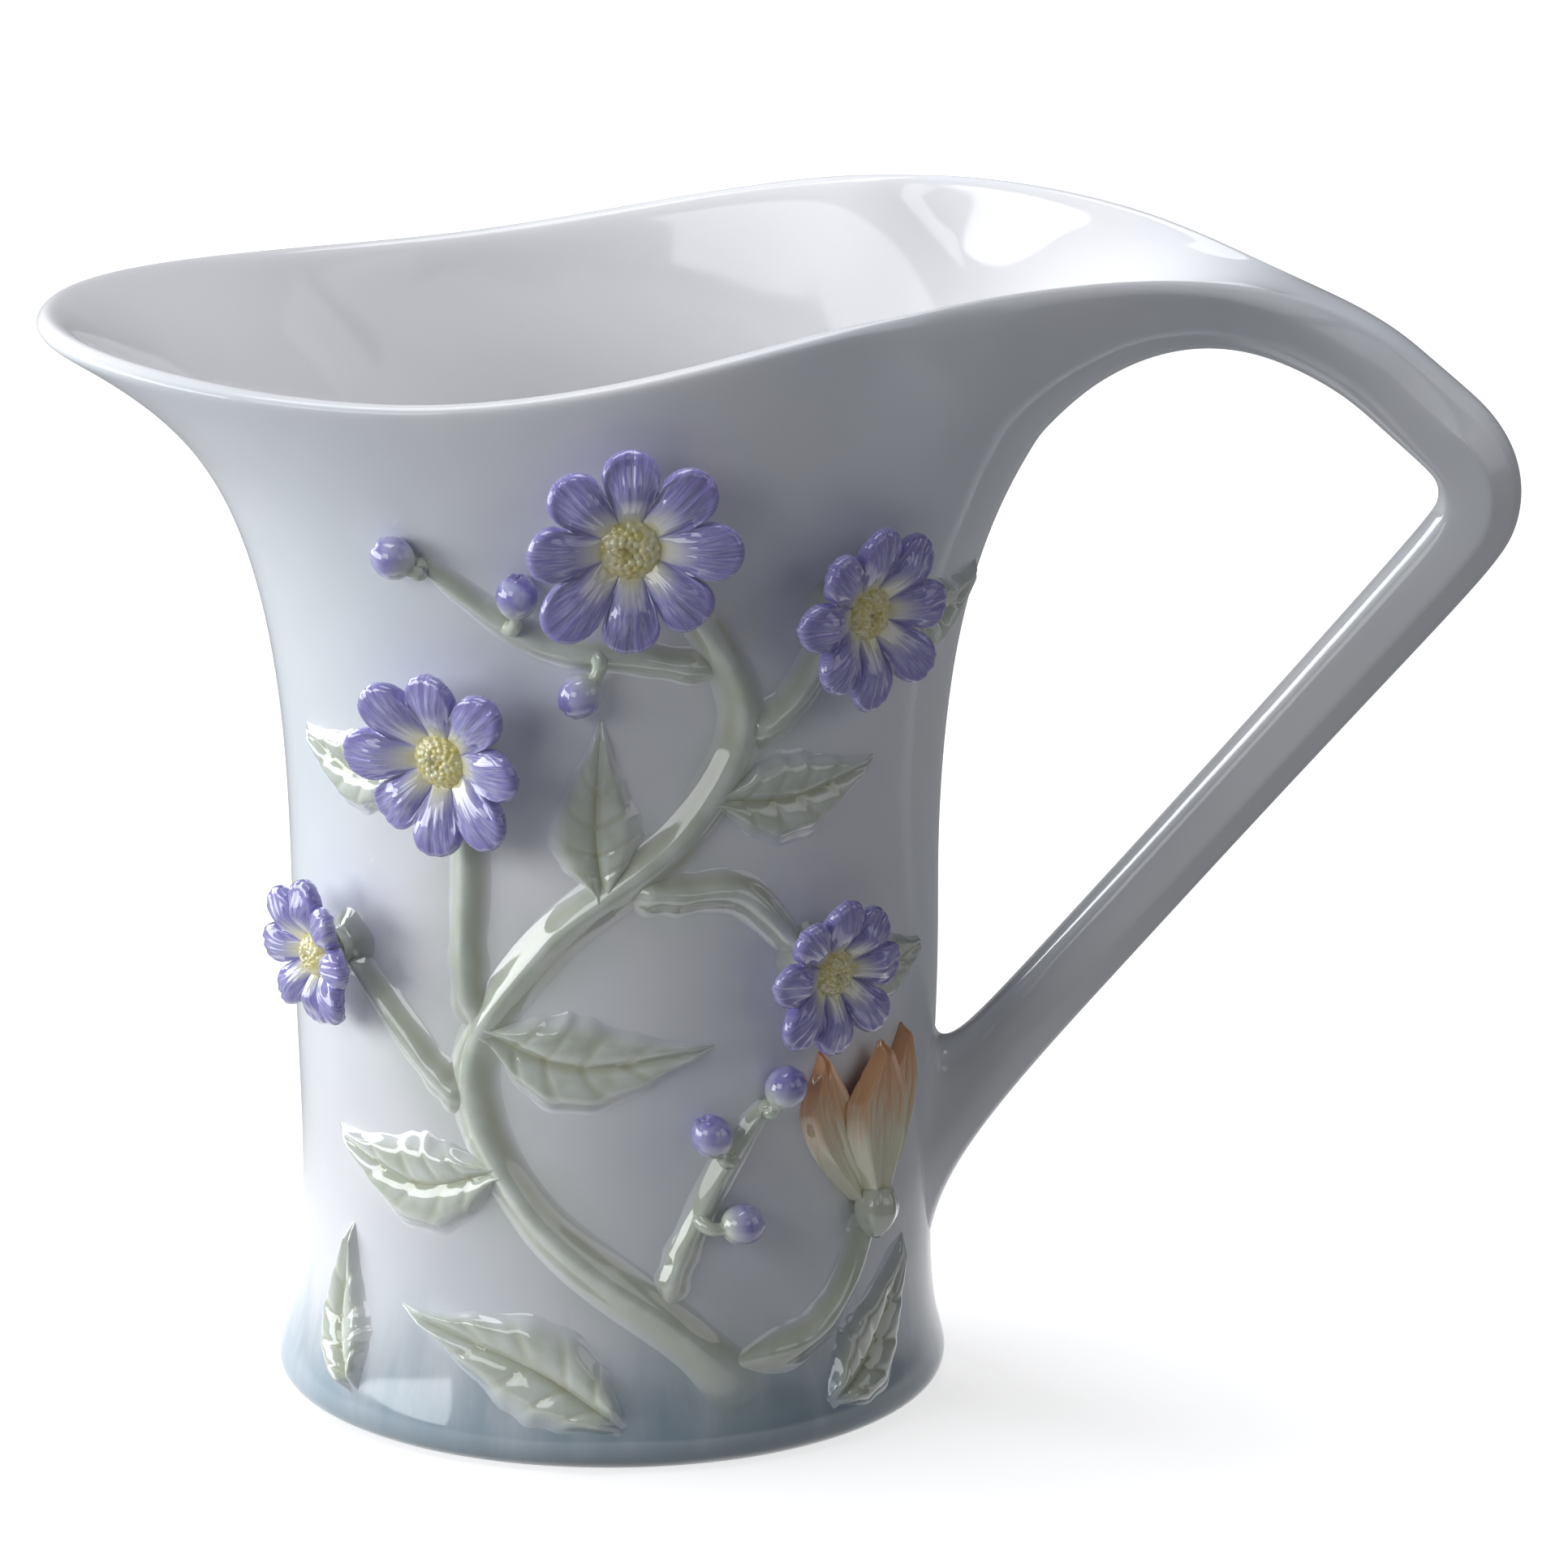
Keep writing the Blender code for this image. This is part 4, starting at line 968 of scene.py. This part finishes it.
def corolla(name, seat, radius):
    """Petals pressed from one pad: cupped, pillowed and fluted, rounded at the edge, seated on the calyx."""
    floor = CALYX_HEIGHT + COROLLA_FLOOR
    depth = COROLLA_DEPTH * radius
    columns = PETALS * PETAL_COLUMNS
    turns = around(columns)
    place = turns * PETALS / (2 * np.pi)
    petal = np.round(place).astype(int) % PETALS
    side = 2.0 * (place - np.round(place))
    fullness = 1.0 - side ** 2
    length = 1.0 + LENGTH_LUCK * chance.uniform(-1, 1, PETALS)[petal] * fullness
    curl = (CURL + CURL_LUCK * chance.uniform(-1, 1, PETALS)[petal]) * fullness
    skew = SKEW_LUCK * chance.uniform(-1, 1, PETALS)[petal] * fullness * side
    outline = radius * length * (1.0 - PETAL_NOTCH * (1.0 - np.sqrt(np.clip(fullness, 0.0, 1.0))))
    inner = outline - 0.5 * PETAL_EDGE

    def top(out):
        spread = smooth(0.3, 0.75, out)
        cup = depth * (1.15 * out ** 1.4 - 0.5 * curl * smooth(0.6, 1.0, out))
        swell = PILLOW * fullness * np.sin(np.pi * np.clip((out - 0.2) / 0.85, 0, 1))
        grooves = VALLEY * np.abs(side) ** 5 * spread
        flutes = FLUTE * (np.cos(6.0 * np.pi * side) + 2.0 * np.exp(-(side / 0.1) ** 2)) * spread * fullness
        return floor + cup + swell - grooves - flutes + skew * MM * spread

    rings = []

    def add(reach, rise, out):
        rings.append((list(zip(turns, reach, rise)), {"out": out, "side": side}))

    for out in [0.04, 0.15, 0.25, *np.linspace(0.32, 1.0, 22)]:
        add(out * inner, top(out), out)
    for lean in np.linspace(0.0, np.pi, 8)[1:-1]:
        drop = 0.5 * PETAL_EDGE * (1.0 - np.cos(lean))
        add(inner + 0.5 * PETAL_EDGE * np.sin(lean), top(1.0) - drop, 1.0)
    tube = 0.75 * CALYX_RADIUS
    for out in np.linspace(1.0, 0.0, 10):
        under = top(out) - PETAL_EDGE * mix(1.0, 1.4, 1.0 - out)
        settled = smooth(0.45, 0.0, out)
        add(mix(out * inner, tube, settled), mix(under, CALYX_HEIGHT, settled), out)
    return turned(name, seat, rings, SOFT)


def beaded_eye(name, seat, radius):
    """Domed eye covered in beads, which sit on a sunflower spiral."""
    floor = CALYX_HEIGHT + COROLLA_FLOOR
    eye = EYE_SHARE * radius
    steps = np.arange(BEADS) + 0.5
    bead_out = np.sqrt(steps / BEADS)
    bead_turn = steps * math.pi * (3.0 - math.sqrt(5.0))
    beads = np.stack((bead_out * np.cos(bead_turn), bead_out * np.sin(bead_turn)), 1)
    size = 1.05 / math.sqrt(BEADS)
    turns = around(EYE_COLUMNS)
    rings = []
    for out in np.linspace(0.02, 1.0, 26):
        spots = np.stack((out * np.cos(turns), out * np.sin(turns)), 1)
        gaps = np.min(np.linalg.norm(spots[:, None] - beads[None], axis=2), axis=1) / size
        bump = BEAD_HEIGHT * eye * np.sqrt(np.clip(1.0 - gaps ** 2, 0.0, 1.0))
        dome = EYE_HEIGHT * (1.0 - 0.55 * out ** 2.4) - 0.25 * EYE_HEIGHT * math.exp(-(out / 0.35) ** 2)
        level = [(turn, out * eye, rise) for turn, rise in zip(turns, floor + dome + bump)]
        rings.append((level, {"out": out}))
    for reach, rise in ((1.04 * eye, floor + 0.25 * EYE_HEIGHT), (0.9 * eye, floor - SEAM)):
        rings.append(([(turn, reach, rise) for turn in turns], {"out": 1.0}))
    return turned(name, seat, rings, SOFT)


def calyx_cup(name, seat):
    """Green cup between the wall and the corolla, flared on to the wall."""
    place, axis, *_ = seat
    sections = []
    for share in np.linspace(0.0, 1.0, 12):
        waist = 1.0 - CALYX_WAIST * math.sin(math.pi * share) + CALYX_FLARE * (1.0 - share) ** 3
        points = []
        for turn in around(CALYX_COLUMNS):
            rib = 1.0 + CALYX_RIB * math.cos(5 * turn)
            top = place + axis * CALYX_HEIGHT + spoke(seat, turn) * (CALYX_RADIUS * waist * rib)
            foot, normal = on_wall(top, -axis)
            points.append((foot - normal * SUNK).lerp(top, share))
        sections.append((points, {"side": mix(0.6, 0.1, share), "wash": 1.0}))
    return lofted(name, sections, True)


LILAC = (0.290, 0.255, 0.620)
LIGHT_LILAC = (0.540, 0.540, 0.820)
PETAL_BASE = (0.800, 0.800, 0.760)
YELLOW = (0.780, 0.680, 0.240)
PALE_YELLOW = (0.860, 0.830, 0.520)
BROWN = (0.360, 0.270, 0.070)


def streaks(shade, across, along, up, scale):
    """Noise drawn out along a petal, by places across it, along it and up the wall."""
    fibre = shade.add("CombineXYZ", {"X": across, "Y": along, "Z": shade.height() * up})
    return shade.cloud(scale, 4.0, 0.6, fibre)


def petal_colour(shade):
    """Lilac at the tip in streaks that run in towards a pale middle."""
    out = shade.mark("out")
    streak = streaks(shade, shade.mark("side") * 9.0, out * 1.6, 60.0, 2.6)
    blotch = shade.cloud(220.0)
    lilac = streak.ease(0.36, 0.66).blend(LILAC, LIGHT_LILAC)
    edge = lilac.painted(LILAC, out.ease(0.72, 1.0) * blotch.ease(0.3, 0.6) * 0.7)
    middle = 1.0 - (out + (streak - 0.5) * 0.5).ease(0.34, 0.66)
    yellow = (1.0 - (out + (streak - 0.5) * 0.25).ease(0.28, 0.46)) * 0.8
    return edge.painted(PETAL_BASE, middle).painted(PALE_YELLOW, yellow)


def eye_colour(shade):
    """Yellow beads, brown towards the middle."""
    yellow = shade.cloud(900.0).ease(0.35, 0.65).blend(YELLOW, PALE_YELLOW)
    return yellow.painted(BROWN, (1.0 - shade.mark("out").ease(0.0, 0.5)) * 0.45)


petal_glaze = glaze("petal_glaze", petal_colour)
eye_glaze = glaze("eye_glaze", eye_colour)
for number, blossom in enumerate(BLOSSOMS, 1):
    seat = seat_of(blossom)
    radius = blossom[1] * BLOSSOM_RADIUS
    green_sprig(calyx_cup(f"calyx_cup_{number}", seat), f"calyx_{number}")
    piece = corolla(f"corolla_{number}", seat, radius)
    finished(piece, petal_glaze, "lilac_glaze", f"blossom_{number}")
    piece = beaded_eye(f"beaded_eye_{number}", seat, radius)
    finished(piece, eye_glaze, "eye_glaze", f"eye_{number}")

# Berries: small porcelain balls, each with a blunt star at its tip and a short stalk that bends up out of its
# spray. They are dipped in lilac from the tip, and left pale green towards the stalk.
BERRY_RADIUS = 2.2 * MM
BERRY_COLUMNS = 30
STALK = 1.5 * MM
STAR = 0.10 * BERRY_RADIUS


def lying_seat(spot, heading, length, radius):
    """Seat of a round piece that lies on the wall, from its base at a spot towards a heading."""
    turn = heading.normalized()
    tip = spot + turn * length
    belly = spot + turn * (0.5 * length)
    place, _ = wall_spot(*spot)
    ahead, _ = wall_spot(*tip)
    middle, normal = wall_spot(*belly)
    axis = (ahead - place).normalized()
    rise = radius + (middle - place.lerp(ahead, 0.5)).dot(normal)
    upward = (normal - axis * normal.dot(axis)).normalized()
    return place + normal * rise, axis, upward, upward.cross(axis)


def berry(name, spot, heading, root):
    """Ball on a stalk that bends from its root in the spray to the ball's base at a spot."""
    length = 2.2 * BERRY_RADIUS
    place, axis, upward, sideways = lying_seat(spot, heading, length, BERRY_RADIUS)
    bend = place - axis * STALK
    sections = []

    def add(middle, across, aside, reach, share):
        star = STAR * smooth(0.75, 0.9, share) * smooth(1.0, 0.93, share)
        points = []
        for turn in around(BERRY_COLUMNS):
            out = reach + star * math.cos(5 * turn)
            points.append(middle + across * (out * math.cos(turn)) + aside * (out * math.sin(turn)))
        sections.append((points, {"out": share}))

    for share in np.linspace(0.0, 0.9, 8):
        rest = 1.0 - share
        middle = root * (rest * rest) + bend * (2 * rest * share) + place * (share * share)
        run = ((bend - root) * rest + (place - bend) * share).normalized()
        across = (upward - run * upward.dot(run)).normalized()
        add(middle, across, across.cross(run), mix(0.42, 0.30, share) * BERRY_RADIUS, 0.0)
    for share in np.linspace(0.0, 1.0, 22)[1:]:
        lean = math.pi * mix(0.06, 0.97, share)
        dimple = 0.16 * length * smooth(0.9, 1.0, share)
        middle = place + axis * (0.5 * length * (1.0 - math.cos(lean)) - dimple)
        add(middle, upward, sideways, BERRY_RADIUS * math.sin(lean), share)
    return lofted(name, sections, True, SOFT)


def berry_colour(shade):
    """Lilac from the tip, fading to pale green at the spray."""
    out = shade.mark("out")
    blotch = shade.cloud(420.0)
    lilac = blotch.ease(0.35, 0.65).blend(LILAC, LIGHT_LILAC)
    pale = lilac.painted(PALE_GREEN, 1.0 - (out + (blotch - 0.5) * 0.4).ease(0.1, 0.5))
    return pale.painted(GREEN, 1.0 - out.ease(0.0, 0.2))


berry_glaze = glaze("berry_glaze", berry_colour)
berry_places = []
for route, side in zip(spray_routes, (1, -1)):
    berry_places += [(route, 0.5, -side), (route, 0.25, side), (route, 0.0, 0)]
for number, (route, share, side) in enumerate(berry_places, 1):
    point, slope = route_at(route, share)
    outward = -slope
    across = Vector((outward.y, -outward.x)) * side
    foot, normal = wall_spot(*point)
    root = foot + normal * (0.4 * SPRAY_HEIGHT)
    base = point + across * (0.85 * SPRAY_WIDTH)
    piece = berry(f"berry_ball_{number}", base, across + outward * 0.6, root)
    finished(piece, berry_glaze, "lilac_glaze", f"berry_{number}")

# Orange bud: half open on its own twig, with a ribbed green cup, two side petals and one over them. The
# petals are fluted lengthwise and washed from cream at the cup to orange at their tips.
EMBER_STEM = (0.92, (37.0, 0.108), (46.0, 0.147), (50.5, 0.190))
EMBER_LEAN = Vector((0.1, 1.0))
EMBER_CUP_LENGTH = 5.0 * MM
EMBER_CUP_RADIUS = 2.3 * MM
EMBER_CUP_RIB = 0.07
EMBER_CUP_COLUMNS = 36
EMBER_PETAL_HEIGHT = 2.0 * MM
EMBER_PETAL_WIDTH = 7.0 * MM
EMBER_PETAL_LENGTH = 17.0 * MM
EMBER_PETAL_TIP = 0.25 * MM
EMBER_PETALS = ((-1.0, 0.0, 0.85), (1.0, 0.0, 0.85), (0.05, EMBER_PETAL_HEIGHT, 1.1))
EMBER_FLUTE = 0.16 * MM
EMBER_STEPS, EMBER_COLUMNS = 56, 22
CREAM = (0.880, 0.860, 0.640)
ORANGE = (0.860, 0.480, 0.250)
RUST = (0.680, 0.310, 0.140)


def ember_petal(name, route, width, lift):
    """Pointed petal with lengthwise flutes, raised off the wall by a lift."""
    def breadth(share):
        opening = 0.2 + 0.8 * math.sin(0.5 * math.pi * min(1.0, share / 0.62))
        return 0.54 * width * opening * (1.0 - smooth(0.62, 1.03, share)) + EMBER_PETAL_TIP

    def raised(share):
        return lift * mix(0.6, 1.0, share)

    def rise(share, x):
        edge = 1.0 - smooth(0.66, 1.0, abs(x))
        flute = EMBER_FLUTE * math.cos(5.0 * math.pi * x) * smooth(0.0, 0.3, share)
        body = EMBER_PETAL_HEIGHT * mix(1.0, 0.62, share) * smooth(1.0, 0.93, share)
        return (body * mix(0.8, 1.0, smooth(0.0, 0.6, abs(x))) - flute) * edge + raised(share) - SUNK

    def under(share, x):
        return raised(share) - BURIED

    return laid(name, route, EMBER_STEPS, EMBER_COLUMNS, breadth, rise, under)


def ember_colour(shade):
    """Cream at the cup, running in streaks to an orange tip and a rusty edge."""
    along = shade.mark("along")
    side = shade.mark("side")
    streak = streaks(shade, side * 6.0, along * 1.2, 40.0, 3.0)
    orange = (along + (streak - 0.5) * 0.8).ease(0.3, 0.8).blend(CREAM, ORANGE)
    return orange.painted(RUST, side.size().ease(0.6, 1.0) * along.ease(0.3, 0.9) * 0.5)


ember_glaze = glaze("ember_glaze", ember_colour)
ember_route = branch(*EMBER_STEM)
ember_route.insert(0, ember_route[0] + EMBER_LEAN * (0.5 * EMBER_CUP_LENGTH))
green_sprig(thread("ember_thread", ember_route, THREAD_STEPS, TWIG_WIDTH, VINE_HEIGHT), "ember_stem")
cup_base = ember_route[1] + Vector((0.0, SEAM))
cup_rings = []
for share in np.linspace(0.0, 1.0, 18):
    girth = EMBER_CUP_RADIUS * math.sin(math.pi * mix(0.06, 0.8, share)) ** 0.8
    rise = share * (EMBER_CUP_LENGTH + SEAM)
    level = [(turn, girth * (1.0 + EMBER_CUP_RIB * math.cos(6 * turn)), rise)
             for turn in around(EMBER_CUP_COLUMNS)]
    cup_rings.append((level, {"side": mix(0.5, 0.3, share), "wash": 1.0}))
cup_seat = lying_seat(cup_base, EMBER_LEAN, EMBER_CUP_LENGTH, EMBER_CUP_RADIUS)
green_sprig(turned("ember_cup_sprig", cup_seat, cup_rings), "ember_cup")
petal_base = cup_base + EMBER_LEAN * (0.85 * EMBER_CUP_LENGTH)
for number, (lean, lift, share) in enumerate(EMBER_PETALS, 1):
    start = petal_base + Vector((0.15 * EMBER_PETAL_WIDTH * lean, 0.0))
    tip = petal_base + Vector((0.95 * EMBER_PETAL_WIDTH * lean, EMBER_PETAL_LENGTH))
    bend = start.lerp(tip, 0.5) + Vector((0.18 * EMBER_PETAL_WIDTH * lean, 0.0))
    piece = ember_petal(f"ember_petal_sprig_{number}", (start, bend, tip), share * EMBER_PETAL_WIDTH, lift)
    finished(piece, ember_glaze, "ember_glaze", f"ember_petal_{number}")

# Studio: a pale floor that the camera sees as white with the creamer's soft shadow on it, a wide softbox on
# the left with one behind it and one overhead, a window in front on the left, weak fills in front and on the
# right, and a long lens a little above the rim.
CAMERA_DISTANCE = 2.0
CAMERA_RISE = math.radians(16.5)
CAMERA_TARGET = Vector((18.2 * MM, 0.0, 64.4 * MM))
FRAME_WIDTH = 164.2 * MM
SENSOR = 36.0
FLOOR_HALF = 4.0
FLOOR_NEAR = (0.05, 0.11)
FLOOR_DIM = (0.28, 0.28, 0.285)
FLOOR_LIT = (0.55, 0.55, 0.56)
FLOOR_GLOW = 0.72
BACKDROP = (1.0, 1.0, 1.0)
ROOM, ROOM_GLOW = (0.80, 0.86, 1.0), 0.02
SOFTBOXES = (
    ("key", (-0.90, 0.00, 0.23), (1.20, 0.38), 7.9, (0.955, 0.983, 1.0)),
    ("back", (-0.62, 0.58, 0.42), (0.50, 0.50), 4.6, (0.955, 0.983, 1.0)),
    ("window", (-0.54, -0.69, 0.42), (0.46, 0.34), 1.35, (0.965, 0.980, 1.0)),
    ("fill", (0.66, -0.88, 0.50), (0.45, 0.40), 0.5, (0.975, 0.970, 1.0)),
    ("side", (1.00, -0.30, 0.45), (0.60, 0.60), 0.9, (0.975, 0.970, 1.0)),
    ("top", (-0.06, 0.08, 1.08), (0.85, 0.60), 6.6, (0.960, 0.972, 1.0)),
)
corners = [(x * FLOOR_HALF, y * FLOOR_HALF, 0.0) for x, y in ((-1, -1), (1, -1), (1, 1), (-1, 1))]
floor_mesh = bpy.data.meshes.new("floor")
floor_mesh.from_pydata(corners, [], [(0, 1, 2, 3)])
floor = placed("floor", floor_mesh)


def seen_directly(shade, near):
    """1 where the camera looks, and near the creamer also where its glaze or a clear piece looks; else 0."""
    mirrored = shade.math("MAXIMUM", shade.add("LightPath", output="Is Glossy Ray"),
                          shade.add("LightPath", output="Is Transmission Ray"))
    return shade.math("MAXIMUM", shade.add("LightPath", output="Is Camera Ray"), mirrored * near)


floor_paint = bpy.data.materials.new("floor_paint")
shade = fresh_tree(floor_paint)
dim = shade.add("BsdfDiffuse", {"Color": FLOOR_DIM})
lit = shade.add("BsdfDiffuse", {"Color": FLOOR_LIT})
pale = shade.add("Emission", {"Color": BACKDROP, "Strength": FLOOR_GLOW})
shown = shade.add("AddShader", {0: lit, 1: pale})
away = shade.add("VectorMath", {0: shade.place()}, output=1, operation="LENGTH")
seen = seen_directly(shade, 1.0 - away.ease(*FLOOR_NEAR))
surface = shade.add("MixShader", {0: seen, 1: dim, 2: shown})
shade.add("OutputMaterial", {"Surface": surface})
floor_mesh.materials.append(floor_paint)

world = bpy.data.worlds.new("studio")
bpy.context.scene.world = world
shade = fresh_tree(world)
room = shade.add("Background", {"Color": ROOM, "Strength": ROOM_GLOW})
white = shade.add("Background", {"Color": BACKDROP, "Strength": 1.0})
looked_at = shade.add("LightPath", output="Is Camera Ray")
backdrop = shade.add("MixShader", {0: looked_at, 1: room, 2: white})
shade.add("OutputWorld", {"Surface": backdrop})

for name, place, size, watts, colour in SOFTBOXES:
    light = bpy.data.lights.new(name, "AREA")
    light.shape = "RECTANGLE"
    light.size, light.size_y = size
    light.energy = watts
    light.color = colour
    lamp = placed(name, light)
    lamp.location = place
    lamp.rotation_euler = (CAMERA_TARGET - Vector(place)).to_track_quat("-Z", "Y").to_euler()

camera_data = bpy.data.cameras.new("camera")
camera_data.sensor_width = SENSOR
camera_data.lens = SENSOR * CAMERA_DISTANCE / FRAME_WIDTH
camera = placed("camera", camera_data)
back = Vector((0.0, -math.cos(CAMERA_RISE), math.sin(CAMERA_RISE)))
camera.location = CAMERA_TARGET + back * CAMERA_DISTANCE
camera.rotation_euler = (-back).to_track_quat("-Z", "Y").to_euler()
bpy.context.scene.camera = camera
bpy.context.scene.view_settings.view_transform = "Standard"
